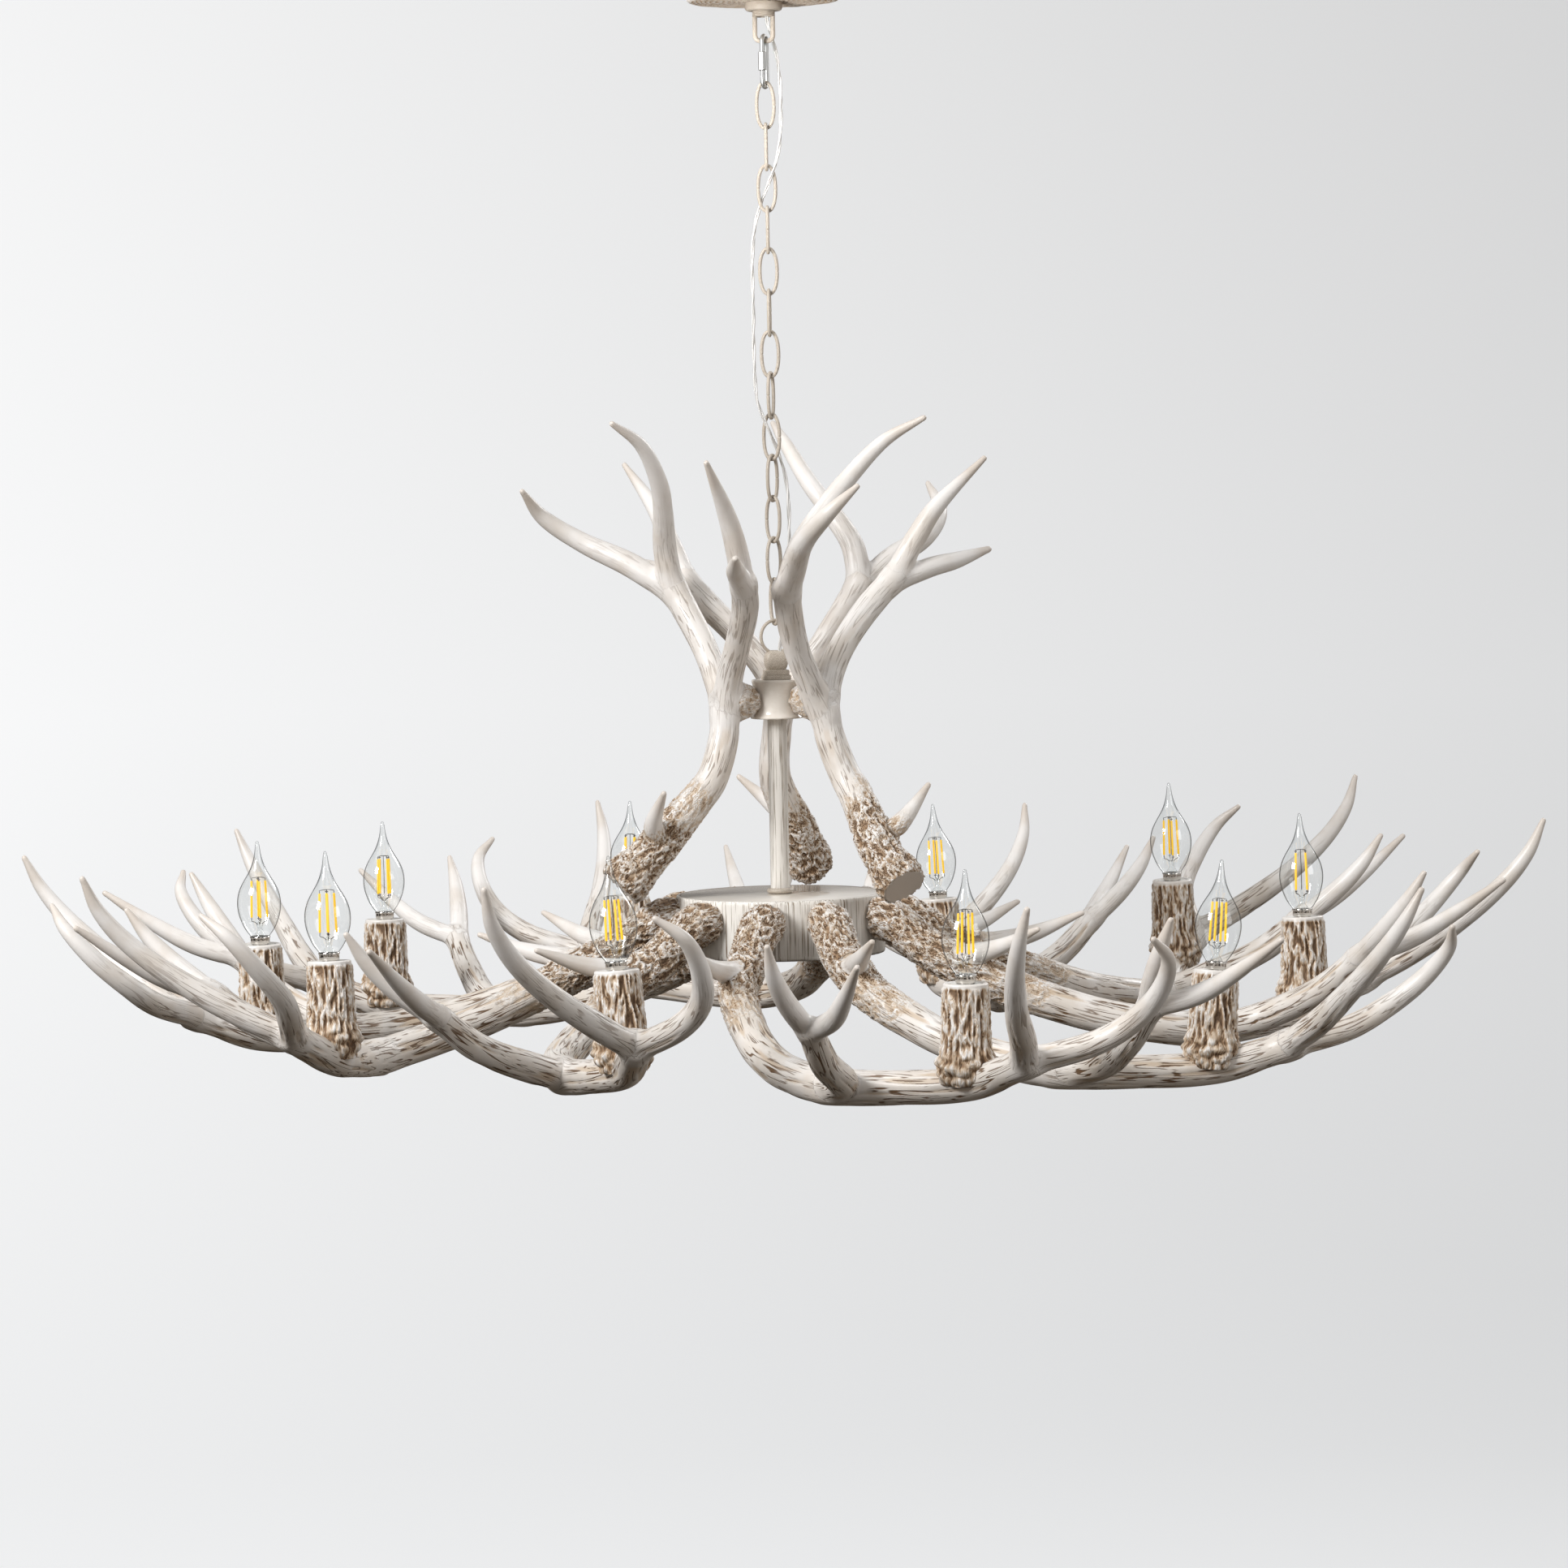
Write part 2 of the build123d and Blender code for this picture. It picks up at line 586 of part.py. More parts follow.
for index, azimuth in enumerate(CROWN_AZIMUTHS):
    with BuildPart() as crown_antler:
        add(crown_blank.part.moved(Location((0, 0, hub_top), (0, 0, azimuth))))
        add(upper_collar.part, mode=Mode.SUBTRACT)
        with Locations((0, 0, (collar_top + collar_bottom) / 2)):
            Cylinder(COLLAR_WAIST_D / 2, COLLAR_HEIGHT, mode=Mode.SUBTRACT)
    save(crown_antler.part, f"crown_antler_{index + 1}")

# ---- supply cord -------------------------------------------------------------------------------
route = [Vector(x, y, z + hub_top) for x, y, z in CORD_ROUTE]
runs = [(b - a).length for a, b in zip(route, route[1:])]
turns = [(b - a).get_angle(c - b) for a, b, c in zip(route, route[1:], route[2:])]
radii = [
    0.45 * min(before, after) / tan(radians(turn / 2))
    for before, after, turn in zip(runs, runs[1:], turns)
]
print("cord bend radii, mm:", [round(radius) for radius in radii])
with BuildPart() as supply_cord:
    with BuildLine() as cord_path:
        FilletPolyline(*route, radius=radii)
    with BuildSketch(Plane(route[0], z_dir=route[1] - route[0])):
        RegularPolygon(CORD_D / 2, CORD_SIDES)
    sweep()
print("cord length, mm:", round(cord_path.wires()[0].length))
save(supply_cord.part, "supply_cord")
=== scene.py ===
# %% [markdown]
# # An antler chandelier
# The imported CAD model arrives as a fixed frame: bodies that move, and nodes that ride on them.
# Everything below dresses that frame.  Lengths are in metres, +Z points up, the middle of the
# canopy's seat on the ceiling is the origin, and the light is looked at along +Y.

# %% Load the frame
import math

import bpy
import numpy as np
from mathutils import Matrix, Vector, noise


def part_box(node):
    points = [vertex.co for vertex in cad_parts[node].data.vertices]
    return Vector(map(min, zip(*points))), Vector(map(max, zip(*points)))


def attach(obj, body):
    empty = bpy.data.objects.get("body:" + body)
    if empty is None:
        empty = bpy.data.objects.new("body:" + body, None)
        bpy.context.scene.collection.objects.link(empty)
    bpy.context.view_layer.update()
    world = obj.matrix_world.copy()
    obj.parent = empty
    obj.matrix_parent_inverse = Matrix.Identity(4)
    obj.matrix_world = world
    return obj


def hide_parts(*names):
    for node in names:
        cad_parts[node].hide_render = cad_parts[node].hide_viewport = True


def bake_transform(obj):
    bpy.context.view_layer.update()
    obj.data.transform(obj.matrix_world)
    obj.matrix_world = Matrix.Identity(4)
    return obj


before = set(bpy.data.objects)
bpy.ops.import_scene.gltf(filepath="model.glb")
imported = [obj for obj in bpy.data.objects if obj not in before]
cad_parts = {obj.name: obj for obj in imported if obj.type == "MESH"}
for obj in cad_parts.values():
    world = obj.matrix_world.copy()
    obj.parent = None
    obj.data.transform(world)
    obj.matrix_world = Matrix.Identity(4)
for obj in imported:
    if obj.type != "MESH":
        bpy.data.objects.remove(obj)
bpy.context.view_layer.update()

MM = 0.001

# %% [markdown]
# ## Levels
# The CAD nodes say where every part of the light hangs.  Reading their boxes keeps each visible
# piece exactly where its solid is, with nothing fitted by eye.

# %% Levels of the hanging parts
def level(node, top=True):
    """Height of a CAD node's top or bottom, in metres."""
    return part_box(node)[1 if top else 0].z


HUB_TOP = level("hub_top_plate")
HUB_BOTTOM = level("hub_drum", top=False)
COLLAR_TOP = level("upper_collar")
COLLAR_BOTTOM = level("upper_collar", top=False)
print("hub from", round(HUB_TOP, 4), "to", round(HUB_BOTTOM, 4), "collar", round(COLLAR_TOP, 4))

# %% [markdown]
# ## Colours and nodes
# Paint colours are easy to name as sRGB hex values, but shaders work in linear light, so one
# function turns them over.  A second one adds a node with its settings and its links, which keeps
# every material below readable from top to bottom.

# %% Helpers for materials
def paint(code):
    """An sRGB hex colour as linear red, green, blue and alpha."""
    srgb = [int(code[i:i + 2], 16) / 255 for i in (1, 3, 5)]
    return [v / 12.92 if v <= 0.04045 else ((v + 0.055) / 1.055) ** 2.4 for v in srgb] + [1.0]


def add(tree, kind, links=None, out=0, to=None, **settings):
    """Adds one node and gives its output.  Settings are its properties, links fill its sockets
    with values or other outputs, and "to" is a socket that the output feeds."""
    node = tree.nodes.new(kind)
    for key, value in settings.items():
        setattr(node, key, value)
    for socket, value in (links or {}).items():
        if isinstance(value, bpy.types.NodeSocket):
            tree.links.new(value, node.inputs[socket])
        else:
            node.inputs[socket].default_value = value
    if to is not None:
        tree.links.new(node.outputs[out], to)
    return node.outputs[out]


def finish(name, colour, roughness, **sockets):
    """A new material, its node tree and its Principled shader, with plain values on the sockets."""
    material = bpy.data.materials.new(name)
    material.use_nodes = True
    tree = material.node_tree
    shader = tree.nodes["Principled BSDF"]
    shader.inputs["Base Color"].default_value = paint(colour)
    shader.inputs["Roughness"].default_value = roughness
    for socket, value in sockets.items():
        shader.inputs[socket.replace("_", " ")].default_value = value
    return material, tree, shader


# %% [markdown]
# ## Hand-painted resin
# The antlers, the candle sleeves and the hub are cast polyurethane resin.  The maker sprays them
# bone white, rubs a tan glaze into the relief and wipes it off the high places, so tan and brown
# stay only in recesses and cracks.  The meshes carry that as attributes: "recess" is how deep a
# point lies in the relief, "crack" how much fine cracking there is, "tip" how near a point is to
# the end of a tine, and "grain" is a place measured round and along the limb.  The shader paints
# from them, so the cracks follow each limb, however it bends.

# %% Cast resin, bone white with a tan glaze
# The noise fields that place cracks, their breaks, the squiggles of the bark, its mottling and
# its pores: size across a limb, size along it, detail, and how far the noise is bent.
FIELDS = (
    ("lines", 5.0 * MM, 75 * MM, 1.0, 0.2), ("breaks", 5 * MM, 22 * MM, 2.0, 0.0),
    ("worms", 2.7 * MM, 5.2 * MM, 1.0, 1.6), ("mottling", 38 * MM, 38 * MM, 3.0, 0.0),
    ("pores", 2.6 * MM, 2.6 * MM, 2.0, 0.0),
)
COPY_SHIFT = (0.7, 0.3, 1.9)   # how far each copy's own chance moves its paint, in metres
FINE_FOLD, HALF_FOLD = 0.09, 0.5
MESH_DEPTH, PIT_DEPTH = 0.62, 0.52   # what the mesh and the squiggles add to a hollow

resin, tree, shader = finish("cast_resin_bone_white_tan_glaze", "#EFEBE6", 0.46)
grain = add(tree, "ShaderNodeAttribute", out="Vector", attribute_name="grain")
recess, crack, tip, sawn, bark = (
    add(tree, "ShaderNodeAttribute", out="Fac", attribute_name=guide)
    for guide in ("recess", "crack", "tip", "sawn", "bark")
)
chance = add(tree, "ShaderNodeObjectInfo", out="Random")
own_grain = add(tree, "ShaderNodeVectorMath", {0: chance, 1: COPY_SHIFT, 2: grain},
                operation="MULTIPLY_ADD")
field = {}
for title, across, along, detail, bend in FIELDS:
    sizes = (1 / across, 1 / across, 1 / along)
    scaled = add(tree, "ShaderNodeVectorMath", {0: own_grain, 1: sizes}, operation="MULTIPLY")
    links = {"Vector": scaled, "Scale": 1.0, "Detail": detail, "Distortion": bend}
    field[title] = add(tree, "ShaderNodeTexNoise", links)
print("noise fields in the resin:", list(field))

# %% Shares of cracks, pits and glaze
# A line of equal noise is long and thin, like a contour on a map.  Folding the noise back on itself
# gives 0 on every such line, which draws the cracks and the crests of the squiggles.
for title, fold in (("lines", FINE_FOLD), ("worms", HALF_FOLD)):
    field[title] = add(tree, "ShaderNodeMath", {0: field[title], 1: fold}, operation="PINGPONG")
field["worms"] = add(tree, "ShaderNodeMath", {0: HALF_FOLD, 1: field["worms"]},
                     operation="SUBTRACT")
# Each share below is 0 to 1: (name, from, where it starts, where it is full, how much it may be).
share = {}
for title, source, low, high, most in (
    ("line", field["lines"], 0.040, 0.014, 1.0), ("unbroken", field["breaks"], 0.43, 0.53, 1.0),
    ("pit", field["worms"], 0.055, 0.15, 1.0), ("patch", field["mottling"], 0.40, 0.70, 0.8),
):
    links = {"Value": source, "From Min": low, "From Max": high, "To Max": most}
    share[title] = add(tree, "ShaderNodeMapRange", links, interpolation_type="SMOOTHSTEP")
for title, factor in (("line", share["unbroken"]), ("line", crack), ("pit", bark)):
    share[title] = add(tree, "ShaderNodeMath", {0: share[title], 1: factor}, operation="MULTIPLY")
pits = add(tree, "ShaderNodeMath", {0: share["pit"], 1: PIT_DEPTH}, operation="MULTIPLY")
hollow = add(tree, "ShaderNodeMath", {0: recess, 1: MESH_DEPTH, 2: pits}, operation="MULTIPLY_ADD")
for title, source, low, high, most in (
    ("stain", crack, 0.0, 1.0, 0.26), ("tip", tip, 0.0, 1.0, 0.5),
    ("wash", hollow, 0.06, 0.36, 0.9), ("glaze", hollow, 0.36, 0.66, 0.95),
    ("deep", hollow, 0.58, 0.84, 0.95), ("sawn", sawn, 0.0, 1.0, 1.0),
):
    links = {"Value": source, "From Min": low, "From Max": high, "To Max": most}
    share[title] = add(tree, "ShaderNodeMapRange", links, interpolation_type="SMOOTHSTEP")
print("shares:", list(share))

# %% Colour, relief and gloss of the resin
PORE_RELIEF, PIT_RELIEF = 0.18, -1.7   # beside a crack's depth of 1
colour = paint("#EEEAE6")
for title, code in (
    ("patch", "#DDD4CA"), ("stain", "#C9B8A2"), ("tip", "#CCBDAD"), ("wash", "#C9B297"),
    ("glaze", "#947453"), ("deep", "#5A432F"), ("line", "#725942"), ("sawn", "#CDC3B8"),
):
    colour = add(tree, "ShaderNodeMix", {0: share[title], 6: colour, 7: paint(code)}, out=2,
                 data_type="RGBA")
tree.links.new(colour, shader.inputs["Base Color"])
relief = add(tree, "ShaderNodeMath", {0: field["pores"], 1: PORE_RELIEF}, operation="MULTIPLY")
relief = add(tree, "ShaderNodeMath", {0: relief, 1: share["line"]}, operation="SUBTRACT")
relief = add(tree, "ShaderNodeMath", {0: share["pit"], 1: PIT_RELIEF, 2: relief},
             operation="MULTIPLY_ADD")
add(tree, "ShaderNodeBump", {"Height": relief, "Strength": 0.7, "Distance": 0.8 * MM},
    to=shader.inputs["Normal"])
add(tree, "ShaderNodeMapRange", {"Value": hollow, "To Min": 0.36, "To Max": 0.75},
    to=shader.inputs["Roughness"])
print("resin nodes:", len(tree.nodes))

# %% [markdown]
# ## Growing an antler
# A real casting is one skin without seams.  It could be sculpted by hand, but a set of points with
# radii measured on the casting is exact and easy to change.  Each limb becomes a smooth run of
# circles through its points.

# %% Runs of circles through measured points
SAMPLE = 3.0   # mm between circles along a limb
NO_LIMB = (0.13, 0.21, 0.97)   # a direction that no limb starts in
END_TURNS = (35, 60, 80)   # degrees up a rounded end, where its last circles lie


def smooth_run(points, round_end, spacing=SAMPLE):
    """(x, y, z, radius) rows along a Catmull-Rom curve through a limb's points, in millimetres."""
    knots = np.array(points, float)
    knots = np.vstack((2 * knots[0] - knots[1], knots, 2 * knots[-1] - knots[-2]))
    rows = []
    for a, b, c, d in zip(knots, knots[1:], knots[2:], knots[3:]):
        steps = max(2, round(np.linalg.norm(c[:3] - b[:3]) / spacing))
        for t in np.arange(steps) / steps:
            rows.append((2 * b + (c - a) * t + (2 * a - 5 * b + 4 * c - d) * t ** 2
                         + (3 * b - a - 3 * c + d) * t ** 3) / 2)
    rows.append(knots[-2])
    rows = np.array(rows)
    if round_end:
        middle, radius = rows[-1, :3], rows[-1, 3]
        way = middle - rows[-2, :3]
        way /= np.linalg.norm(way)
        caps = [(*(middle + way * radius * math.sin(turn)), radius * math.cos(turn))
                for turn in np.radians(END_TURNS)]
        rows = np.vstack((rows, caps))
    return rows


def directions(rows, closed=False):
    """Tangent, side and up along a run, turning about it as little as they can."""
    places = rows[:, :3]
    if closed:
        tangents = np.roll(places, -1, 0) - np.roll(places, 1, 0)
    else:
        tangents = np.gradient(places, axis=0)
    tangents /= np.linalg.norm(tangents, axis=1)[:, None]
    side = np.cross(tangents[0], NO_LIMB)
    sides = []
    for tangent in tangents:
        side = side - tangent * side.dot(tangent)
        side /= np.linalg.norm(side)
        sides.append(side)
    sides = np.array(sides)
    return tangents, sides, np.cross(tangents, sides)


# %% Tubes round the runs
def full_turn(count):
    """Angles that divide a full turn evenly."""
    return np.arange(count) * 2 * math.pi / count


def bands(rings, columns, closed=False):
    """Quads between rings of points that follow each other in a list of vertices."""
    faces = []
    for i in range(rings if closed else rings - 1):
        a, b = i * columns, (i + 1) % rings * columns
        for k in range(columns):
            m = (k + 1) % columns
            faces.append((a + k, a + m, b + m, b + k))
    return faces


def lids(rings, columns):
    """The two faces that close a stack of rings at its ends."""
    return [tuple(range(columns))[::-1], tuple(range((rings - 1) * columns, rings * columns))]


def hoops(rows, count, closed=False):
    """Vertices and faces of a tube round a run, in millimetres."""
    tangents, sides, ups = directions(rows, closed)
    c, s = np.cos(full_turn(count)), np.sin(full_turn(count))
    ring = c[None, :, None] * sides[:, None] + s[None, :, None] * ups[:, None]
    vertices = (rows[:, None, :3] + ring * rows[:, 3][:, None, None]).reshape(-1, 3)
    return vertices, bands(len(rows), count, closed) + ([] if closed else lids(len(rows), count))


# %% [markdown]
# ## One skin over many limbs
# The tubes overlap at the forks.  Blender's voxel Remesh modifier lays one closed skin over them
# all.  Each of its points is then set exactly on the nearest limb's surface, and near a fork it is
# pushed out and relaxed a little, which gives the soft webs that a grown antler has.

# %% Melting limbs together
VOXEL = 1.3    # mm: fine enough for the bark, and small enough to draw ten times
TUBE_SIDES = 20


def joined(parts):
    """One vertex array and face list from several."""
    vertices, faces = [], []
    for part_vertices, part_faces in parts:
        start = sum(len(v) for v in vertices)
        vertices.append(np.asarray(part_vertices, float))
        faces += [tuple(start + i for i in face) for face in part_faces]
    return np.vstack(vertices), faces


def mesh_of(name, vertices, faces):
    """A mesh from millimetre vertices."""
    mesh = bpy.data.meshes.new(name)
    mesh.from_pydata((np.asarray(vertices) * MM).tolist(), [], faces)
    mesh.update()
    return mesh


def show(name, mesh, material=None, angle=40):
    """A named object from a mesh, shaded smooth but for sharp edges."""
    piece = bpy.data.objects.new(name, mesh)
    bpy.context.scene.collection.objects.link(piece)
    if material and material.name not in mesh.materials:
        mesh.materials.append(material)
    if angle:
        mesh.shade_smooth()
        mesh.set_sharp_from_angle(angle=math.radians(angle))
    return piece


def evaluated(draft, name):
    """The mesh that a draft object ends in, as its modifiers or curve make it."""
    bpy.context.view_layer.update()
    graph = bpy.context.evaluated_depsgraph_get()
    mesh = bpy.data.meshes.new_from_object(draft.evaluated_get(graph))
    bpy.data.objects.remove(draft)
    mesh.name = name
    return mesh


def melt(name, runs):
    """A voxel skin over the tubes of several runs."""
    tubes = joined([hoops(rows, TUBE_SIDES) for rows in runs])
    draft = show(name, mesh_of(name + "_draft", *tubes), angle=0)
    remesh = draft.modifiers.new("melt", "REMESH")
    remesh.mode, remesh.voxel_size = "VOXEL", VOXEL * MM
    return evaluated(draft, name)


# %% Numbers out of a mesh and into it
def numbers(items, key, width, kind=float):
    """One row for each item of a mesh: a point's place, its normal or the ends of an edge."""
    values = np.empty(len(items) * width, kind)
    items.foreach_get(key, values)
    return values.reshape(-1, width)


def move(mesh, points):
    """Sets the places of a mesh's points, in millimetres."""
    mesh.vertices.foreach_set("co", (points * MM).ravel())
    mesh.update()


def mark(mesh, grain=None, **guides):
    """Writes paint guides, one number a point or one for all, and a place in mm for the grain."""
    for title, values in guides.items():
        values = (values * np.ones(len(mesh.vertices))).astype(np.float32)
        mesh.attributes.new(title, "FLOAT", "POINT").data.foreach_set("value", values)
    if grain is not None:
        places = (grain * MM).astype(np.float32).ravel()
        mesh.attributes.new("grain", "FLOAT_VECTOR", "POINT").data.foreach_set("vector", places)


# %% Where a point lies on its limb
CHUNK = 3000   # points measured at once, which keeps the arrays small
STEEPEST = 0.5   # mm of radius for each mm along a limb


def measure(points, rows):
    """Of points near a limb: distance, gap to its skin, place round and along it, radius, way."""
    tangents, sides, ups = directions(rows)
    steps = np.linalg.norm(np.diff(rows[:, :3], axis=0), axis=1)
    along = np.concatenate(([0], np.cumsum(steps)))
    slopes = np.gradient(rows[:, 3], along + np.arange(len(along)) * 1e-6)
    nearest = np.concatenate([
        ((chunk[:, None] - rows[None, :, :3]) ** 2).sum(2).argmin(1)
        for chunk in np.array_split(points, 1 + len(points) // CHUNK)
    ])
    offset = points - rows[nearest, :3]
    beyond = (offset * tangents[nearest]).sum(1)
    slide = np.clip(beyond, -SAMPLE / 2, SAMPLE / 2)
    slide = np.where(nearest == 0, np.maximum(slide, 0), slide)
    slide = np.where(nearest == len(rows) - 1, np.minimum(slide, 0), slide)
    over = np.abs(beyond - slide)
    offset -= beyond[:, None] * tangents[nearest]
    reach = np.linalg.norm(offset, axis=1)
    radius = rows[nearest, 3] + np.clip(slopes[nearest], -STEEPEST, STEEPEST) * slide
    gap = reach - radius
    distance = np.where(over > 0.05, np.hypot(np.maximum(gap, 0), over), gap)
    around = np.stack(((offset * sides[nearest]).sum(1), (offset * ups[nearest]).sum(1)), 1)
    outward = offset / np.maximum(reach, 1e-6)[:, None]
    return distance, gap, around, along[nearest] + slide, radius, outward


def relax(points, edges, weight, rounds):
    """Moves each point towards the middle of its neighbours, as far as its weight says."""
    number = len(points)
    neighbours = np.bincount(edges.ravel(), minlength=number)[:, None]
    for _ in range(rounds):
        total = np.stack([
            np.bincount(edges[:, 0], points[edges[:, 1], axis], number)
            + np.bincount(edges[:, 1], points[edges[:, 0], axis], number)
            for axis in range(3)
        ], 1)
        points = points + (total / neighbours - points) * weight[:, None]
    return points


# %% The skin on its limbs, and webs at the forks
WEB_REACH, WEB_SWELL = 0.85, 0.16   # in radii: how wide a web is, and how far it swells
WEB_ROUNDS, SKIN_ROUNDS = 22, 2


def fitted(mesh, runs):
    """Sets a skin on its limbs, softens the forks, and says where each of its points lies."""
    points = numbers(mesh.vertices, "co", 3) / MM
    edges = numbers(mesh.edges, "vertices", 2, int)
    fields = [measure(points, rows) for rows in runs]
    distances = np.stack([field[0] for field in fields], 1)
    order = distances.argsort(1)
    each, mine, next_one = np.arange(len(points)), order[:, 0], order[:, 1]
    gap, around, along, radius, outward = (
        np.stack([field[item] for field in fields], 1)[each, mine] for item in range(1, 6)
    )
    apart = distances[each, next_one] - distances[each, mine]
    web = np.clip(1 - apart / (WEB_REACH * radius), 0, 1)
    on_skin = (np.abs(gap) < VOXEL) * (1 - web)
    points -= outward * (gap * on_skin)[:, None]
    points += outward * (web ** 2 * radius * WEB_SWELL)[:, None]
    points = relax(points, edges, 0.5 * np.minimum(1, 3 * web), WEB_ROUNDS)
    points = relax(points, edges, np.full(len(points), 0.3), SKIN_ROUNDS)
    move(mesh, points)
    return points, mine, gap, around, along, radius, web


# %% [markdown]
# ## Bark
# Near its root a shed antler is covered with pearls and short ridges, further on with long shallow
# furrows, and towards the tips it is worn smooth.  These forms are millimetres deep, so they belong
# in the mesh: folded noise makes a net of squiggly ridges with pits between them, stretched along
# the limb.

# %% Noise and steps
def ripple(points, size, seed):
    """Smooth noise from about -1 to 1 at many points, with features of a given size."""
    return np.array([noise.noise(Vector(p)) for p in (points / size + seed).tolist()])


def smooth_step(value, low, high):
    """0 below low, 1 above high and a smooth rise between them."""
    t = np.clip((value - low) / (high - low), 0, 1)
    return t * t * (3 - 2 * t)


def even(values):
    """Values as their rank from 0 to 1, so that a half of them lies below 0.5."""
    ranks = np.empty(len(values))
    ranks[np.argsort(values)] = np.linspace(0, 1, len(values))
    return ranks


# %% Relief in the skin
POINTED = 5   # mm: a limb that ends thinner than this is a tine with a round tip
LIMB_APART = 400.0   # mm along the noise from limb to limb, so that no two are alike
NET_HEIGHT, LUMP_HEIGHT, SLIM_LUMP, FURROW_DEPTH = 3.0, 1.2, 0.4, 0.8   # mm
FULL_RELIEF = 12   # mm: the bark of thinner limbs is lower
SAWN_LENGTH, SAWN_INSIDE = 2.5, 1.2   # mm: where the flat end of a beam lies
THIN, THICK = 7, 11.5   # mm: furrows and cracks grow between these radii
TIP_END, TIP_START = 3, 8.5   # mm of radius


def cast_antler(name, limbs, bark_end, bark_fade, pearl, pearl_long, crack_reach, carved=()):
    """One antler casting in its own frame, with relief in its skin and its paint guides."""
    runs = [smooth_run(limb, limb[-1][3] < POINTED) for limb in limbs]
    mesh = melt(name, runs)
    points, mine, gap, around, along, radius, web = fitted(mesh, runs)
    normals = numbers(mesh.vertex_normals, "vector", 3)

    # Where there is bark: near the beam's root, on the brow tine's foot and on carved knobs.
    place = np.column_stack((around, along + LIMB_APART * mine))
    patch = ripple(place, 24, 5.1)
    beam = mine == 0
    bark = np.where(beam, 1 - smooth_step(along + 30 * patch, bark_end, bark_end + bark_fade), 0)
    brow = (mine == 1) * (1 - smooth_step(along, 10, 45))
    knob = np.isin(mine, carved) * smooth_step(along, 8, 16)
    bark = np.maximum.reduce((bark, 0.8 * brow, 0.55 * knob))
    sawn = (along < SAWN_LENGTH) * beam * (gap < -SAWN_INSIDE)

    # The net of pearls and ridges, the slow lumps under it, and the furrows further on.
    stretched = place / (1, 1, pearl_long)
    warp = ripple(stretched, pearl * 1.7, 2.3)
    folded = -np.abs(ripple(stretched + 1.6 * warp[:, None], pearl, 8.7))
    finer = -np.abs(ripple(stretched, pearl * 0.5, 31.3))
    net = even(folded + 0.4 * finer)
    lumps = ripple(place / (1, 1, 2.5), 13, 12.9)
    thick = smooth_step(radius, THIN, THICK)
    grown = np.array(crack_reach)[mine] * thick
    furrow = smooth_step(ripple(place / (1, 1, 9), 5.5, 3.3), 0.12, 0.45)
    furrows = furrow * grown * (1 - 0.75 * bark) * (1 - web)
    rise = bark * (NET_HEIGHT * (net ** 0.8 - 0.5) + LUMP_HEIGHT * lumps)
    rise = rise * np.minimum(1, radius / FULL_RELIEF)
    rise += (1 - bark) * (SLIM_LUMP * lumps * thick - FURROW_DEPTH * furrows)
    points += normals * (rise * (1 - sawn))[:, None]
    move(mesh, points)

    # What the paint needs to know.
    recess = bark * np.clip(1.22 - 1.6 * net + 0.15 * patch, 0.08, 1) + 0.45 * furrows
    crack = grown * (1 - 0.7 * bark) * np.clip(0.95 + 0.9 * patch, 0, 1) * (1 - 0.4 * web)
    tip = (1 - smooth_step(radius, TIP_END, TIP_START)) ** 2
    mark(mesh, place, recess=0.95 * recess * (1 - sawn), crack=crack * (1 - sawn), tip=tip,
         sawn=sawn, bark=bark * (1 - sawn))
    mesh.materials.append(resin)
    mesh.shade_smooth()
    mesh.update()
    print(name, "points", len(points), "bark share", round(float(bark.mean()), 2))
    return mesh


# %% [markdown]
# ## Candle antlers
# All ten lower antlers come out of one mould: a beam that leaves the hub, dips, turns under its
# candle and ends in tines.  One mesh is made and copied ten times, each copy turned on the hub,
# so every one sits a little differently.

# %% The mould of the candle antlers: (out, across, up, radius) in mm
CANDLE_LIMBS = (
    ((-9, 1, -5, 16.5), (-2, 1, -5, 18.5), (8, -1, -7.5, 18.5), (22, -3, -15, 17.5),
     (50, -6, -33, 17), (97, -7, -55, 16.5), (145, 9, -76, 16), (190, 28, -92, 15.5),
     (236, 57, -104, 15.5), (268, 98, -110, 15.5), (292, 156, -108, 14.5), (312, 215, -102, 14),
     (335, 250, -88, 13.5), (353, 275, -75, 13)),
    ((60, -5, -38, 12), (66, -6, -40, 11), (118, -23, -31, 8), (166, -35, -13, 2.5)),
    ((264, 92, -110, 12), (307, 113, -102, 13), (365, 107, -79, 12), (414, 102, -44, 10.5)),
    ((405, 101, -50, 9), (437, 88, -23, 8.5), (460, 81, 1, 6.5), (478, 79, 26, 2.5)),
    ((400, 100, -50, 9), (443, 125, -35, 8.5), (480, 140, -14, 6.5), (522, 156, 15, 2.5)),
    ((346, 266, -80, 11), (393, 270, -56, 11), (436, 270, -30, 9.5), (476, 273, 1, 8),
     (502, 279, 31, 6), (515, 287, 60, 2.5)),
    ((346, 266, -80, 11), (351, 322, -63, 10.5), (358, 355, -43, 9.5), (377, 377, -18, 8),
     (400, 386, 9, 6), (421, 376, 28, 2.5)),
)
candle_mesh = cast_antler(
    "candle_antler_casting", CANDLE_LIMBS, bark_end=105, bark_fade=95, pearl=5.2, pearl_long=1.9,
    crack_reach=(1, 0.35, 1, 0.6, 0.6, 0.85, 0.85),
)

# %% Ten castings on the hub
CANDLE_OUT, CANDLE_ACROSS = 312, 215
HUB_RADIUS, BOSS = 93 * MM, 8 * MM
ROOT_TRAIL, ROOT_DROP = 27.5, 15 * MM
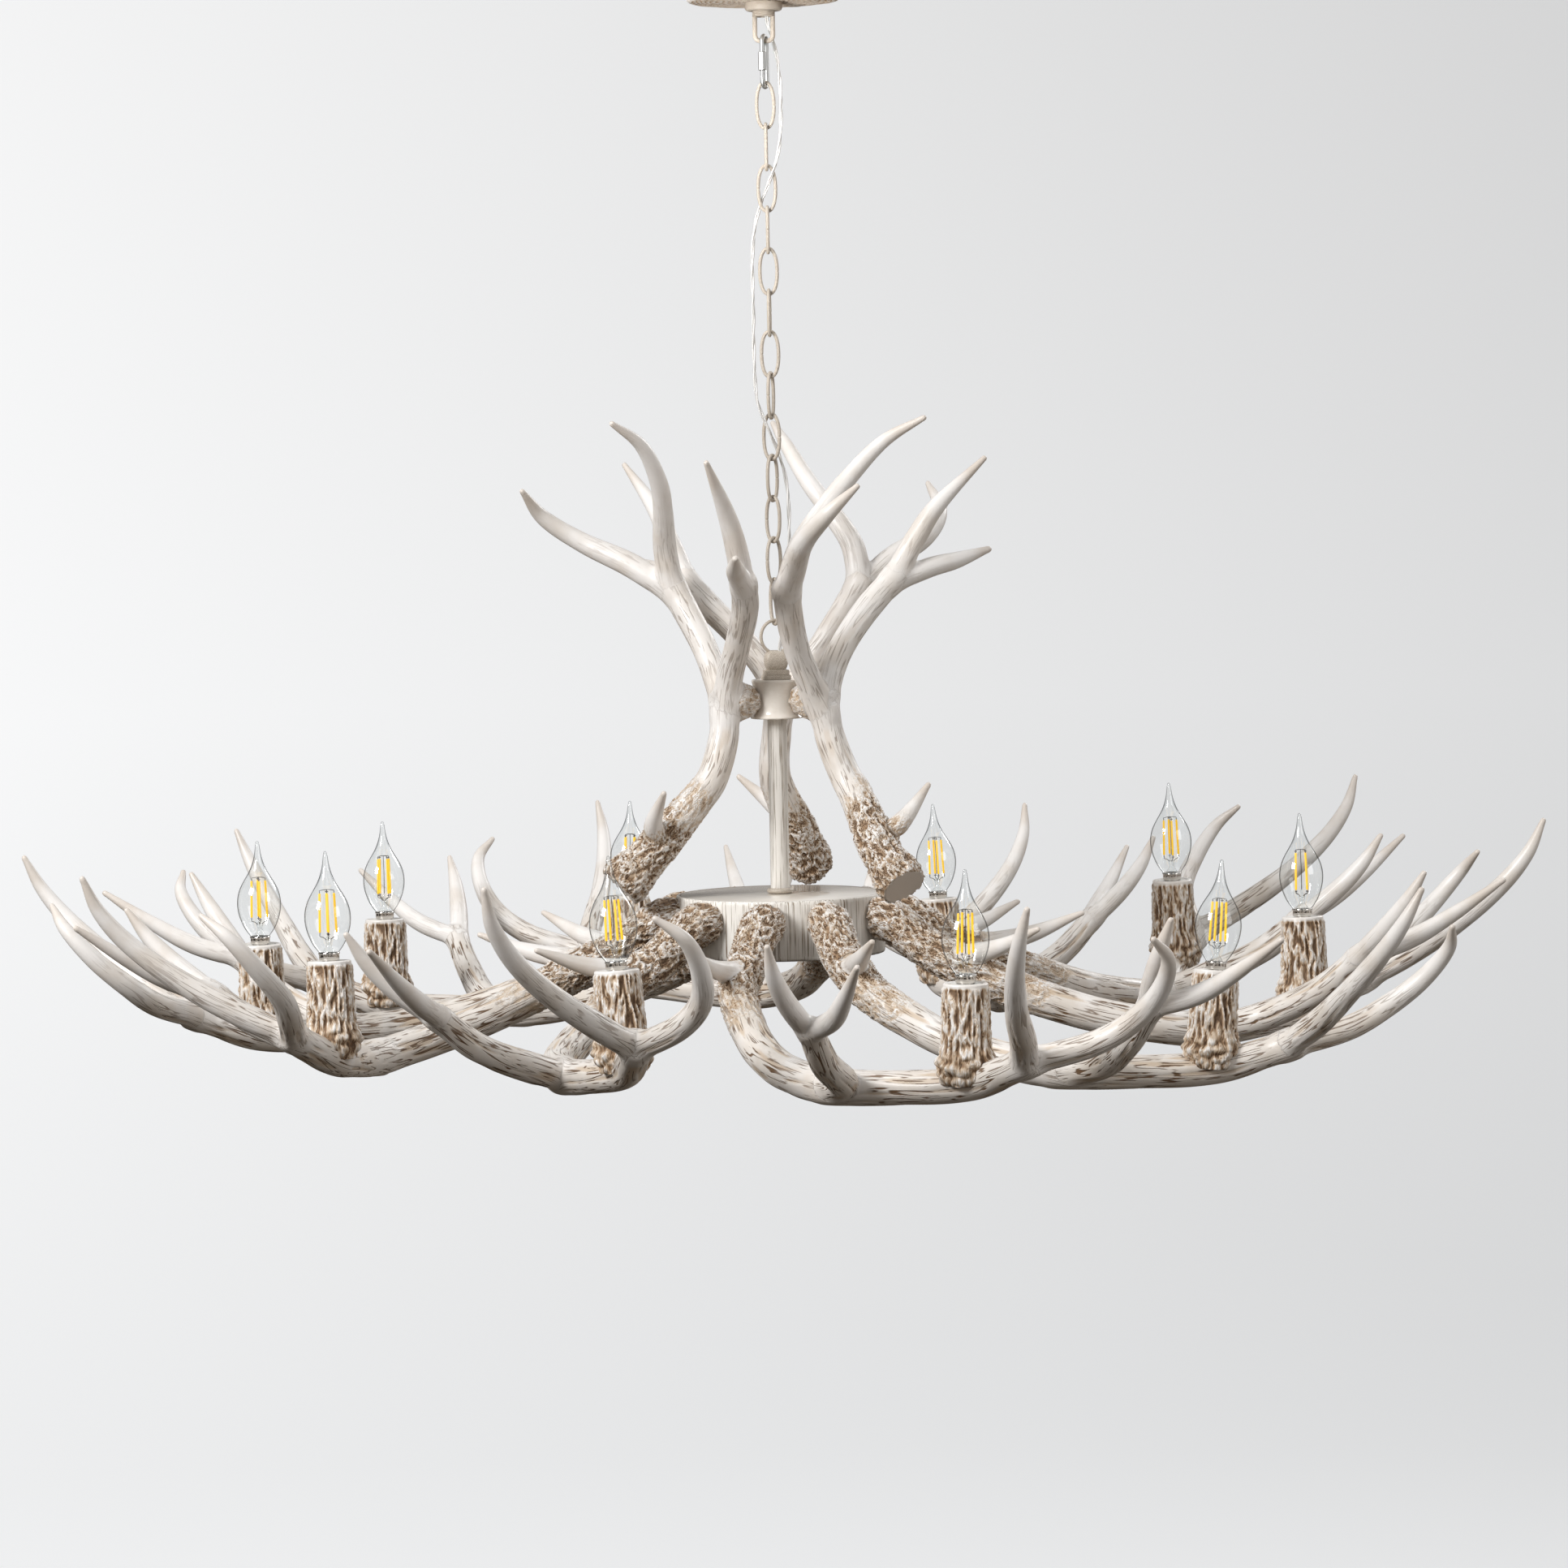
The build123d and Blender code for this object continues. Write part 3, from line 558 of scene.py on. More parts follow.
# Azimuth offset, lift of the far end and roll about the line to the candle, in degrees.
ANTLER_SET = (
    (0, 0.7, -1.7), (0.9, 2.6, 0.6), (-1.5, -1.4, -2.8), (0, -0.1, 1), (-0.8, -0.8, 0.8),
    (-1, -0.4, -1), (-1.1, 1, 2.8), (1, 1.7, 3.5), (0.3, -0.8, -0.2), (-2.6, -2, -4.8),
)


def hub_place(index):
    """The matrix that sets a casting, or what stands on it, on the hub."""
    offset, lift, roll = (math.radians(v) for v in ANTLER_SET[index])
    azimuth = math.radians(36 * index - ROOT_TRAIL) + offset
    lean = Matrix.Rotation(roll, 4, Vector((CANDLE_OUT, CANDLE_ACROSS, 0)).normalized())
    rise = Matrix.Rotation(lift, 4, Vector((CANDLE_ACROSS, -CANDLE_OUT, 0)).normalized())
    seat = Matrix.Translation((HUB_RADIUS + BOSS, 0, HUB_TOP - ROOT_DROP))
    return Matrix.Rotation(azimuth, 4, "Z") @ seat @ lean @ rise


def settle(piece, body, nodes, stand=None):
    """Puts a piece in place on a body, and hides the CAD nodes that it stands for."""
    if stand is not None:
        piece.matrix_world = stand
    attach(piece, body)
    if nodes:
        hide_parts(*nodes)


for index in range(10):
    casting = candle_mesh.copy()
    casting.transform(hub_place(index))   # placed in its mesh, so that its box fits it closely
    piece = show(f"antler_{index + 1:02d}", casting, angle=0)
    stands_for = [f"candle_antler_{index + 1:02d}"] + (["antler_bosses"] if index == 0 else [])
    settle(piece, "fixture", stands_for)
print("candle antlers set:", len(ANTLER_SET))

# %% [markdown]
# ## Crown antlers
# Three larger castings stand on burrs above the hub and lean against the collar.  They are made the
# same way, from their own mould, and have a flat sawn end that shows.

# %% The mould of the crown antlers
CROWN_LIMBS = (
    ((149, 0, 12, 20), (141, 1, 20, 21.5), (127, 2, 34, 18), (108, 6, 55, 16.5), (81, 15, 87, 15),
     (66, 16, 107, 14), (54, 11, 140, 13.3), (51, 7, 168, 12.2)),
    ((113, 4, 49, 10), (125, 27, 68, 8), (125, 61, 97, 2.5)),
    ((62, 9, 172, 9), (47, 7, 173, 12.5), (41, 6.3, 173, 15.5), (34, 5.2, 173, 16),
     (27, 4, 173, 14), (21, 3, 173, 11.5)),
    ((50, 8, 160, 12), (51, -9, 187, 12), (55, -29, 215, 11.5), (64, -48, 245, 12),
     (77, -67, 278, 12.5)),
    ((75, -64, 270, 11), (84, -56, 308, 10.5), (92, -33, 341, 9), (102, -12, 368, 8),
     (124, 11, 400, 6), (156, 29, 420, 2.5)),
    ((73, -62, 268, 11), (107, -87, 294, 11), (144, -114, 315, 9), (178, -121, 338, 7),
     (201, -107, 362, 2.5)),
    ((50, 7, 160, 12), (49, 18, 195, 12), (48, 43, 228, 11.5), (51, 72, 257, 12),
     (60, 97, 282, 11.5)),
    ((58, 92, 276, 10.5), (71, 110, 314, 9.5), (85, 126, 344, 7.5), (111, 159, 384, 2.5)),
    ((57, 90, 274, 10), (74, 124, 287, 9), (84, 150, 293, 7.5), (94, 182, 302, 3)),
)
crown_mesh = cast_antler(
    "crown_antler_casting", CROWN_LIMBS, bark_end=62, bark_fade=60, pearl=5.0, pearl_long=1.7,
    crack_reach=(0.65, 0.2, 0.6, 0.5, 0.3, 0.3, 0.5, 0.3, 0.3), carved=(2,),
)

# %% Three castings round the stem
CROWN_AZIMUTHS = (-162.2, -43.9, 78.7)
for index, azimuth in enumerate(CROWN_AZIMUTHS, 1):
    turn = Matrix.Rotation(math.radians(azimuth), 4, "Z")
    piece = show(f"crown_{index}", crown_mesh, angle=0)
    settle(piece, "fixture", [f"crown_antler_{index}"],
           Matrix.Translation((0, 0, HUB_TOP)) @ turn)
print("crown antlers set:", len(CROWN_AZIMUTHS))

# %% [markdown]
# ## Candle sleeves
# Each candle is a short cast stump: deep upright bark ridges over a flared, knobbly foot, with a
# smooth rim where the mould was trimmed.  A fine grid is wrapped round the axis and every point
# moved by the same kind of folded noise, which gives full control over the rim and the foot.

# %% The stump that carries a lamp: (height, radius) up its outline, in mm
CANDLE_TOP, SLEEVE_FOOT = -19.4, -102
SLEEVE_COLUMNS, SLEEVE_ROWS = 150, 92
SLEEVE_OUTLINE = ((-102, 19), (-94, 22), (-86, 24), (-78, 22.2), (-70, 20), (-45, 19.2),
                  (-25, 18.6), (-19.4, 18.4))
MIDDLE_RADIUS = 19   # where the noise is read, so that the bark's size doesn't change with height
FOOT_LEVELS, RIM_LEVELS = (-84, -68), (-24.5, -21.5)
RIDGE_HEIGHT, KNOB_HEIGHT = 2.6, 3.6
HOLDER_RADIUS = 13.5


def circle(turn, radius, height):
    """Points at angles round the axis, with one radius and height or one for each."""
    return np.column_stack((radius * np.cos(turn), radius * np.sin(turn), height + 0 * turn))


def sleeve():
    """The stump's skin, from its foot over the rim to the hole for the lampholder."""
    turn = full_turn(SLEEVE_COLUMNS)
    heights = np.linspace(SLEEVE_FOOT, CANDLE_TOP - 0.8, SLEEVE_ROWS)
    angle, z = np.tile(turn, SLEEVE_ROWS), np.repeat(heights, SLEEVE_COLUMNS)
    place = circle(angle, MIDDLE_RADIUS, z)
    foot, rim = 1 - smooth_step(z, *FOOT_LEVELS), smooth_step(z, *RIM_LEVELS)
    warp = ripple(place / (1, 1, 2), 8, 4.4)
    coarse = ripple((place + 1.8 * warp[:, None]) / (1, 1, 6.0), 3.6, 7.7)
    ridge = even(-np.abs(coarse) - 0.3 * np.abs(ripple(place / (1, 1, 3), 2.4, 1.9)))
    knobs = even(-np.array([noise.voronoi(Vector(p))[0][0] for p in (place / 8.0).tolist()]))
    rise = (1 - foot) * RIDGE_HEIGHT * (ridge ** 0.7 - 0.55)
    rise += foot * (KNOB_HEIGHT * (knobs - 0.4) + 1.2 * (ridge - 0.5))
    rise = rise * (1 - rim) + rim * 0.2 * warp
    full = np.interp(z, *np.array(SLEEVE_OUTLINE, float).T) + 1.25 * rise
    recess = (1 - foot) * np.clip(1.3 - 1.8 * ridge, 0.12, 1)
    recess = 1.2 * (recess + foot * np.clip(1.2 - 0.8 * knobs - 0.6 * ridge, 0, 1)) * (1 - rim)

    bore = HOLDER_RADIUS + 0.2
    lip = [circle(turn, full[-SLEEVE_COLUMNS:] - 0.8, CANDLE_TOP)]
    for r, z_low in ((bore + 1, CANDLE_TOP), (bore, CANDLE_TOP - 0.6), (bore, CANDLE_TOP - 12)):
        lip.append(circle(turn, r, z_low))
    vertices = np.vstack([circle(angle, full, z)] + lip)
    rings = SLEEVE_ROWS + len(lip)
    faces = bands(rings, SLEEVE_COLUMNS) + lids(rings, SLEEVE_COLUMNS)[:1]
    mesh = mesh_of("candle_sleeve_casting", vertices, faces)
    on_lip = np.zeros(len(vertices) - len(z))
    mark(mesh, np.vstack([place] + lip) / (1, 1, 2.2), recess=np.append(recess, on_lip),
         crack=np.append(0.3 * (1 - rim), on_lip), tip=0, sawn=0,
         bark=np.append(0.45 * (1 - rim), on_lip))
    return mesh


# %% Ten stumps
SPREAD = 137.5   # degrees from one stump to the next, so that no two show the same side
sleeve_mesh = sleeve()
candle_seat = Matrix.Translation((CANDLE_OUT * MM, CANDLE_ACROSS * MM, 0))
for index in range(10):
    turned_by = Matrix.Rotation(math.radians(SPREAD * index), 4, "Z")
    stump = show(f"sleeve_{index + 1:02d}", sleeve_mesh, resin, angle=50)
    settle(stump, "fixture", ["candle_sleeves"] if index == 0 else (),
           hub_place(index) @ candle_seat @ turned_by)
print("sleeve points:", len(sleeve_mesh.vertices))

# %% [markdown]
# ## Turned parts
# The lampholders, lamp caps, hub, collar, stem and canopy are all round.  A profile turned about an
# axis is how they are made in the workshop too, and a Bevel modifier breaks their edges, because no
# real edge is perfectly sharp.

# %% Turning a profile
def turned_mesh(name, profile, steps, open_ends=False):
    """A mesh turned about Z from (radius, height) pairs in millimetres; radius 0 closes an end."""
    vertices, rings = [], []
    for radius, height in profile:
        if radius == 0:
            rings.append([len(vertices)] * steps)
            vertices.append((0, 0, height))
        else:
            rings.append(list(range(len(vertices), len(vertices) + steps)))
            vertices += [(radius * math.cos(t), radius * math.sin(t), height)
                         for t in full_turn(steps)]
    spans = list(zip(rings, rings[1:]))
    if profile[0][0] and profile[-1][0] and not open_ends:
        spans.append((rings[-1], rings[0]))
    faces = []
    for low, high in spans:
        for k in range(steps):
            m = (k + 1) % steps
            faces.append(tuple(dict.fromkeys((low[k], low[m], high[m], high[k]))))
    return mesh_of(name, vertices, faces)


def turned(name, profile, material, steps, bevel=0, angle=35, open_ends=False):
    """The object of a turned piece, with its edges broken by a bevel in millimetres."""
    piece = show(name, turned_mesh(name, profile, steps, open_ends), material, angle=angle)
    if bevel:
        edge = piece.modifiers.new("broken_edges", "BEVEL")
        edge.width, edge.segments = bevel * MM, 2
        edge.limit_method, edge.angle_limit = "ANGLE", math.radians(30)
    return piece


# %% [markdown]
# ## Flame lamps
# The lamps are clear blown glass with a drawn tip, a nickel-plated cap and four yellow filaments.
# A real double wall of refracting glass is slow and noisy to render.  A wall half a millimetre
# thick hardly bends light, so this one passes it straight and mirrors the room most at a grazing
# angle, as Fresnel's rule says.  Towards the edges, where the eye looks along the wall, its colour
# is darkened with painted shade, which stands in for the dark rims that refraction gives there.
# Where the neck is drawn out the wall is thicker, so there the painted edge shade reaches further
# in.

# %% Blown glass
EDGE_SHADE_FROM, EDGE_SHADE_FULL = 0.60, 0.94   # how far a wall turns away before its painted edge shade starts, and where it is darkest
# at a thick neck the painted edge shade starts sooner
NECK_EDGE_SHADE_FROM = 0.22
GRAZING_POWER, EDGE_MIRROR, FRONT_MIRROR = 5.0, 0.5, 0.09
glass, tree, shader = finish("blown_glass_clear", "#FFFFFF", 0.0)
facing = add(tree, "ShaderNodeLayerWeight", {"Blend": 0.5}, out="Facing")
drawn = add(tree, "ShaderNodeAttribute", out="Fac", attribute_name="drawn")   # 1 at a thick neck
edge_shade_start = add(tree, "ShaderNodeMapRange",
                {"Value": drawn, "To Min": EDGE_SHADE_FROM, "To Max": NECK_EDGE_SHADE_FROM})
painted_edge_shade = add(tree, "ShaderNodeMapRange",
                 {"Value": facing, "From Min": edge_shade_start, "From Max": EDGE_SHADE_FULL},
                 interpolation_type="SMOOTHSTEP")
# Painted shade: the colour let through darkens towards the edges, in place of the dark rims of
# refraction.
edge = add(tree, "ShaderNodeMix", {0: painted_edge_shade, 6: paint("#FDFEFE"), 7: paint("#596064")},
           out=2, data_type="RGBA")
through = add(tree, "ShaderNodeBsdfTransparent", {"Color": edge})
mirror = add(tree, "ShaderNodeBsdfGlossy", {"Color": (1, 1, 1, 1), "Roughness": 0.02})
grazing = add(tree, "ShaderNodeMath", {0: facing, 1: GRAZING_POWER}, operation="POWER")
shine = add(tree, "ShaderNodeMath", {0: grazing, 1: EDGE_MIRROR, 2: FRONT_MIRROR},
            operation="MULTIPLY_ADD")
add(tree, "ShaderNodeMixShader", {0: shine, 1: through, 2: mirror},
    to=tree.nodes["Material Output"].inputs["Surface"])
tree.nodes.remove(shader)
print("glass nodes:", len(tree.nodes))

# %% Nickel plate, phosphor with a painted glow, and wire
nickel, tree, shader = finish("nickel_plate_on_brass", "#CFCBC6", 0.12, Metallic=1.0)
scuff = add(tree, "ShaderNodeTexNoise", {"Scale": 900.0, "Detail": 2.0})
add(tree, "ShaderNodeMapRange", {"Value": scuff, "To Min": 0.05, "To Max": 0.16},
    to=shader.inputs["Roughness"])
# The filaments are unlit, yet this coat glows a little: painted light that keeps them bright yellow
# inside the glass.
phosphor_painted_glow, tree, shader = finish("phosphor_coat_amber_painted_glow", "#FFC81F", 0.5, Emission_Strength=0.5)
shader.inputs["Emission Color"].default_value = paint("#FFCC22")
speck = add(tree, "ShaderNodeTexNoise", {"Scale": 1500.0})
add(tree, "ShaderNodeMix", {0: speck, 6: paint("#FFD23C"), 7: paint("#F3B81A")}, out=2,
    to=shader.inputs["Base Color"], data_type="RGBA")
wire_metal, tree, shader = finish("drawn_molybdenum_wire", "#6E6A66", 0.35, Metallic=1.0)
scratch = add(tree, "ShaderNodeTexNoise", {"Scale": 2500.0})
add(tree, "ShaderNodeMapRange", {"Value": scratch, "To Min": 0.25, "To Max": 0.5},
    to=shader.inputs["Roughness"])
print("lamp materials:", glass.name, nickel.name, phosphor_painted_glow.name, wire_metal.name)

# %% The parts of one lamp: (height over the candle's rim, radius) in mm
FLAME = (
    (6.6, 8.2), (8.5, 9.6), (12, 12.2), (16, 14.5), (20, 16.2), (25, 17.9), (30, 19.0), (35, 19.5),
    (40, 19.3), (45, 18.4), (50, 16.7), (55, 14.2), (60, 11.2), (65, 8.3), (70, 6.0), (75, 4.3),
    (80, 3.1), (85, 2.3), (89, 1.8),
)
FLAME_SPACING = 5 / 3   # mm between the circles of the glass
DRAWN_LEVELS = (56, 74)   # between these heights the wall grows thick
TIP_MIDDLE, TIP_ACROSS, TIP_UP = 90.6, 1.55, 1.5   # the bead that closes the tip


def over_rim(profile):
    """A (radius, height) profile, lifted from the candle's rim to the frame."""
    return [(r, CANDLE_TOP + h) for r, h in profile]


flame = smooth_run([(h, 0, 0, r) for h, r in FLAME], False, FLAME_SPACING)
outer = [(row[3], row[0]) for row in flame]
bead = [(TIP_ACROSS * math.cos(a), TIP_MIDDLE + TIP_UP * math.sin(a))
        for a in np.radians((-35, 0, 30, 60))]
glass_mesh = turned_mesh("flame_glass", over_rim([(0, 6.5)] + outer + bead + [(0, 92.2)]), 48)
above_rim = numbers(glass_mesh.vertices, "co", 3)[:, 2] / MM - CANDLE_TOP
mark(glass_mesh, drawn=smooth_step(above_rim, *DRAWN_LEVELS))
print("glass points:", len(glass_mesh.vertices))

# %% Cap and glass mount: (radius, height over the rim) in mm
CAP = (
    (0, -13), (2.2, -13), (2.6, -12), (5.2, -11), (5.9, -10), (6.5, -9.2), (5.9, -8.2),
    (6.5, -7.2), (5.9, -6.2), (6.5, -5.2), (5.9, -4.2), (6.5, -3.2), (6.2, -2), (6.2, 0.4),
    (8.3, 0.4), (8.6, 0.8), (8.6, 5.4), (9.2, 5.9), (9.2, 6.5), (8.8, 7.0), (0, 7.0),
)
MOUNT = (
    (0, 7), (5.2, 7), (4.4, 9), (2.6, 11.5), (1.9, 14), (2.4, 16), (2.9, 17.5), (2.2, 19),
    (1.0, 20.5), (0.8, 24), (0, 24.4),
)
cap_mesh = turned_mesh("lamp_cap", over_rim(CAP), 48)
mount_mesh = turned_mesh("lamp_mount", over_rim(MOUNT), 24)
print("cap points:", len(cap_mesh.vertices), "mount points:", len(mount_mesh.vertices))

# %% Filaments and the wires that hold them
# Four upright filaments stand in a square cage, a little narrower at its head.
CAGE_LOW, CAGE_HIGH = 7.0, 6.1   # mm from the lamp's axis to a filament's foot and head
FILAMENT_LOW, FILAMENT_HIGH = 23.8, 56.8
ROD, ROD_END, WIRE, WELD = 1.0, 0.5, 0.3, 0.35   # radii in mm
ROD_SIDES, WIRE_SIDES, WIRE_SPACING = 10, 6, 1.2
UP = np.array((0, 0, 1.0))


def axis(height):
    """A place on the lamp's axis, from its height over the candle's rim."""
    return UP * (CANDLE_TOP + height)


def wire(spots, radii, sides=WIRE_SIDES, bent=False):
    """A thin tube through a few places, straight between them or bent smoothly."""
    rows = np.column_stack((spots, radii))
    return hoops(smooth_run(rows, False, WIRE_SPACING) if bent else rows, sides)


rods, wires = [], []
for way in np.array(((1, 0, 0), (0, 1, 0), (-1, 0, 0), (0, -1, 0))):
    low, high = CAGE_LOW * way + axis(FILAMENT_LOW), CAGE_HIGH * way + axis(FILAMENT_HIGH)
    rods.append(wire((low, low + 0.5 * UP, high - 0.5 * UP, high), (ROD_END, ROD, ROD, ROD_END),
                     ROD_SIDES))
    foot, knee = 1.7 * way + axis(17.5), low - 3.2 * UP
    wires.append(wire((foot, (foot + knee) / 2 + 0.7 * UP, knee, low), (WIRE, WIRE, WIRE, WELD),
                      bent=True))
    head = high + 2.4 * UP
    crown = UP * head[2]
    wires.append(wire((high, head, 0.5 * way * CAGE_HIGH + crown + 0.5 * UP, crown + 0.7 * UP),
                      (WELD, WIRE, WIRE, WIRE)))
    across = 1.2 * np.array((-way[1], way[0], 0))
    for spot in (low - 1.6 * UP, high + 1.3 * UP):
        wires.append(wire((spot - across, spot + across), (WIRE, WIRE)))
wires.append(wire((axis(24), axis(42) + (0.3, 0, 0), axis(60)), (WELD, WIRE, WIRE)))
rod_mesh = mesh_of("filaments", *joined(rods))
wire_mesh = mesh_of("filament_wires", *joined(wires))
print("filaments:", len(rods), "wires:", len(wires))

# %% Ten lamps
FILAMENT_ROWS = (39, 7, 13, 42, 39, 13, 8, 24, 21, 18)   # degrees from +X to a filament
INSIDES = (("lamp_cap", cap_mesh, nickel), ("lamp_mount", mount_mesh, glass),
           ("filaments", rod_mesh, phosphor_painted_glow), ("lamp_wires", wire_mesh, wire_metal))
for index, row in enumerate(FILAMENT_ROWS):
    body = f"bulb_{index + 1:02d}"
    screwed = Matrix.Rotation(math.radians(row - 36 * index + ROOT_TRAIL), 4, "Z")
    stand = hub_place(index) @ candle_seat @ screwed
    shell = show(f"lamp_glass_{index + 1:02d}", glass_mesh, glass, angle=60)
    settle(shell, body, [body], stand)
    for title, mesh, material in INSIDES:
        settle(show(f"{title}_{index + 1:02d}", mesh, material), body, (), stand)
print("lamps standing:", len(FILAMENT_ROWS))

# %% [markdown]
# ## Lampholders
# Under each lamp sits a moulded holder with a threaded metal shell.  It shows only when a lamp is
# unscrewed, and then as a white ring round a dark bore.

# %% Moulded thermoplastic holder: (radius, height over the rim) in mm
HOLDER = (
    (0, -33.5), (12.6, -33.5), (13.2, -33), (13.2, -0.9), (12.9, -0.5), (7.5, -0.5), (7.2, -0.9),
    (7.2, -20.5), (0, -20.6),
)
thermoplastic, tree, shader = finish("moulded_thermoplastic_white", "#EDEAE4", 0.38)
orange_peel = add(tree, "ShaderNodeTexNoise", {"Scale": 700.0, "Detail": 1.0})
add(tree, "ShaderNodeBump", {"Height": orange_peel, "Strength": 0.12, "Distance": 0.2 * MM},
    to=shader.inputs["Normal"])
holder_mesh = turned_mesh("lampholder", over_rim(HOLDER), 48)
for index in range(10):
    cup = show(f"holder_{index + 1:02d}", holder_mesh, thermoplastic)
    settle(cup, "fixture", ["lampholders"] if index == 0 else (),
           hub_place(index) @ candle_seat)
print("holder points:", len(holder_mesh.vertices))

# %% [markdown]
# ## Hub
# The drum is cast resin too, with fine upright brush lines like the end of a board, and a dark
# glaze line where the lower edge was left ragged.  The lid is smooth and sprayed glossy, so it
# mirrors the stem and the antlers.

# %% Brushed resin and gloss enamel
BRUSH_ACROSS, BRUSH_ALONG = 1.0 * MM, 55 * MM
BRUSH_SIZES = (1 / BRUSH_ACROSS, 1 / BRUSH_ACROSS, 1 / BRUSH_ALONG)
brushed, tree, shader = finish("cast_resin_brushed_cream", "#E6DFD3", 0.5)
spot = add(tree, "ShaderNodeTexCoord", out="Object")
upright = add(tree, "ShaderNodeVectorMath", {0: spot, 1: BRUSH_SIZES}, operation="MULTIPLY")
lines = add(tree, "ShaderNodeTexNoise",
            {"Vector": upright, "Scale": 1.0, "Detail": 3.0, "Roughness": 0.6})
patches = add(tree, "ShaderNodeTexNoise", {"Vector": spot, "Scale": 28.0, "Detail": 2.0})
line_mask = add(tree, "ShaderNodeMapRange", {"Value": lines, "From Min": 0.53, "From Max": 0.64})
patch_mask = add(tree, "ShaderNodeMapRange",
                 {"Value": patches, "From Min": 0.35, "From Max": 0.65, "To Min": 0.25})
tint = add(tree, "ShaderNodeMath", {0: line_mask, 1: patch_mask}, operation="MULTIPLY")
colour = add(tree, "ShaderNodeMix", {0: tint, 6: paint("#F0ECE5"), 7: paint("#7C6549")}, out=2,
             data_type="RGBA")
rim_dark = add(tree, "ShaderNodeAttribute", out="Fac", attribute_name="recess")
add(tree, "ShaderNodeMix", {0: rim_dark, 6: colour, 7: paint("#5A4835")}, out=2,
    to=shader.inputs["Base Color"], data_type="RGBA")
add(tree, "ShaderNodeBump", {"Height": line_mask, "Strength": 0.5, "Distance": 0.5 * MM},
    to=shader.inputs["Normal"], invert=True)

enamel, tree, shader = finish("sprayed_enamel_cream_gloss", "#EFECE7", 0.22, Coat_Weight=0.6,
                              Coat_Roughness=0.05)
cloud = add(tree, "ShaderNodeTexNoise", {"Scale": 14.0, "Detail": 3.0})
add(tree, "ShaderNodeMix", {0: cloud, 6: paint("#EFE9E1"), 7: paint("#E3DACE")}, out=2,
    to=shader.inputs["Base Color"], data_type="RGBA")
print("hub materials:", brushed.name, enamel.name)

# %% The drum
DRUM_RADIUS = 93
hub_mm, low_mm = HUB_TOP / MM, HUB_BOTTOM / MM
drum_rows = [(88, low_mm + 0.4), (92.6, low_mm + 0.1), (DRUM_RADIUS, low_mm + 0.8)]
drum_rows += [(DRUM_RADIUS if z < hub_mm - 2 else 92.8, z)
              for z in np.linspace(low_mm + 2.5, hub_mm - 1.2, 20)]
drum_rows += [(92.3, hub_mm - 0.3), (91.5, hub_mm), (89.6, hub_mm), (89.2, hub_mm - 0.5),
              (89.1, hub_mm - 2.9), (88, hub_mm - 3)]
drum = turned("hub_wall", drum_rows, brushed, steps=360)
spots = numbers(drum.data.vertices, "co", 3) / MM
height, reach = spots[:, 2] - low_mm, np.hypot(spots[:, 0], spots[:, 1])
outside, inside = reach > 92, reach < 90.5
wave = ripple(spots, 7.0, 3.0)
ragged = outside * (1 - smooth_step(height, 0, 5))
combed = outside * 0.18 * np.clip(ripple(spots / (1, 1, 9), 3.2, 9.0), -1, 1)
spots[:, :2] *= (1 - (ragged * (0.6 + wave) * 0.9 + combed) / DRUM_RADIUS)[:, None]
move(drum.data, spots)
low_edge = outside * (1 - smooth_step(height, 0.2, 1.6 + 1.2 * wave))
mark(drum.data, recess=np.maximum(low_edge * 0.9, inside * 0.85))
settle(drum, "fixture", ["hub_drum"])
print("hub drum points:", len(drum.data.vertices))

# %% Its lid and its cover
LID_RADIUS, STEM_RADIUS = 88.9, 8.5
lid_profile = ((STEM_RADIUS, hub_mm - 3), (LID_RADIUS, hub_mm - 3), (LID_RADIUS, hub_mm - 0.35),
               (LID_RADIUS - 0.6, hub_mm - 0.05), (STEM_RADIUS, hub_mm - 0.05))
lid = turned("hub_lid", lid_profile, enamel, 256)
settle(lid, "fixture", ["hub_top_plate"])
cover_profile = ((STEM_RADIUS, low_mm), (84, low_mm), (86.5, low_mm + 0.4), (87.7, low_mm + 1.2),
                 (87.7, low_mm + 2), (STEM_RADIUS, low_mm + 2))
cover = turned("hub_underside", cover_profile, enamel, 256, bevel=0.2)
settle(cover, "fixture", ["hub_bottom_cover"])
print("lid points:", len(lid.data.vertices))

# %% [markdown]
# ## Antique paint on metal
# The chain, ring and fittings are steel under cream paint; the stem is steel as well, but it takes
# the brushed cream finish of the hub.  Handling has worn the paint, so a brown undercoat shows in
# blotches.  A slow noise chooses the worn places and a fine one breaks up their edges.

# %% Steel under antique cream paint
WORN, CHIP = 11 * MM, 1.4 * MM
antique, tree, shader = finish("steel_painted_antique_cream", "#E4DDD1", 0.4)
slow = add(tree, "ShaderNodeTexNoise", {"Scale": 1 / WORN, "Detail": 3.0})
fast = add(tree, "ShaderNodeTexNoise", {"Scale": 1 / CHIP, "Detail": 2.0})
mixed = add(tree, "ShaderNodeMath", {0: fast, 1: 0.35, 2: slow}, operation="MULTIPLY_ADD")
wear = add(tree, "ShaderNodeMapRange",
           {"Value": mixed, "From Min": 0.61, "From Max": 0.78, "To Max": 0.85},
           interpolation_type="SMOOTHSTEP")
add(tree, "ShaderNodeMix", {0: wear, 6: paint("#D5CCBF"), 7: paint("#7A654E")}, out=2,
    to=shader.inputs["Base Color"], data_type="RGBA")
add(tree, "ShaderNodeMapRange", {"Value": wear, "To Min": 0.34, "To Max": 0.6},
    to=shader.inputs["Roughness"])
add(tree, "ShaderNodeBump", {"Height": mixed, "Strength": 0.25, "Distance": 0.3 * MM},
    to=shader.inputs["Normal"])
print("metal paint:", antique.name)

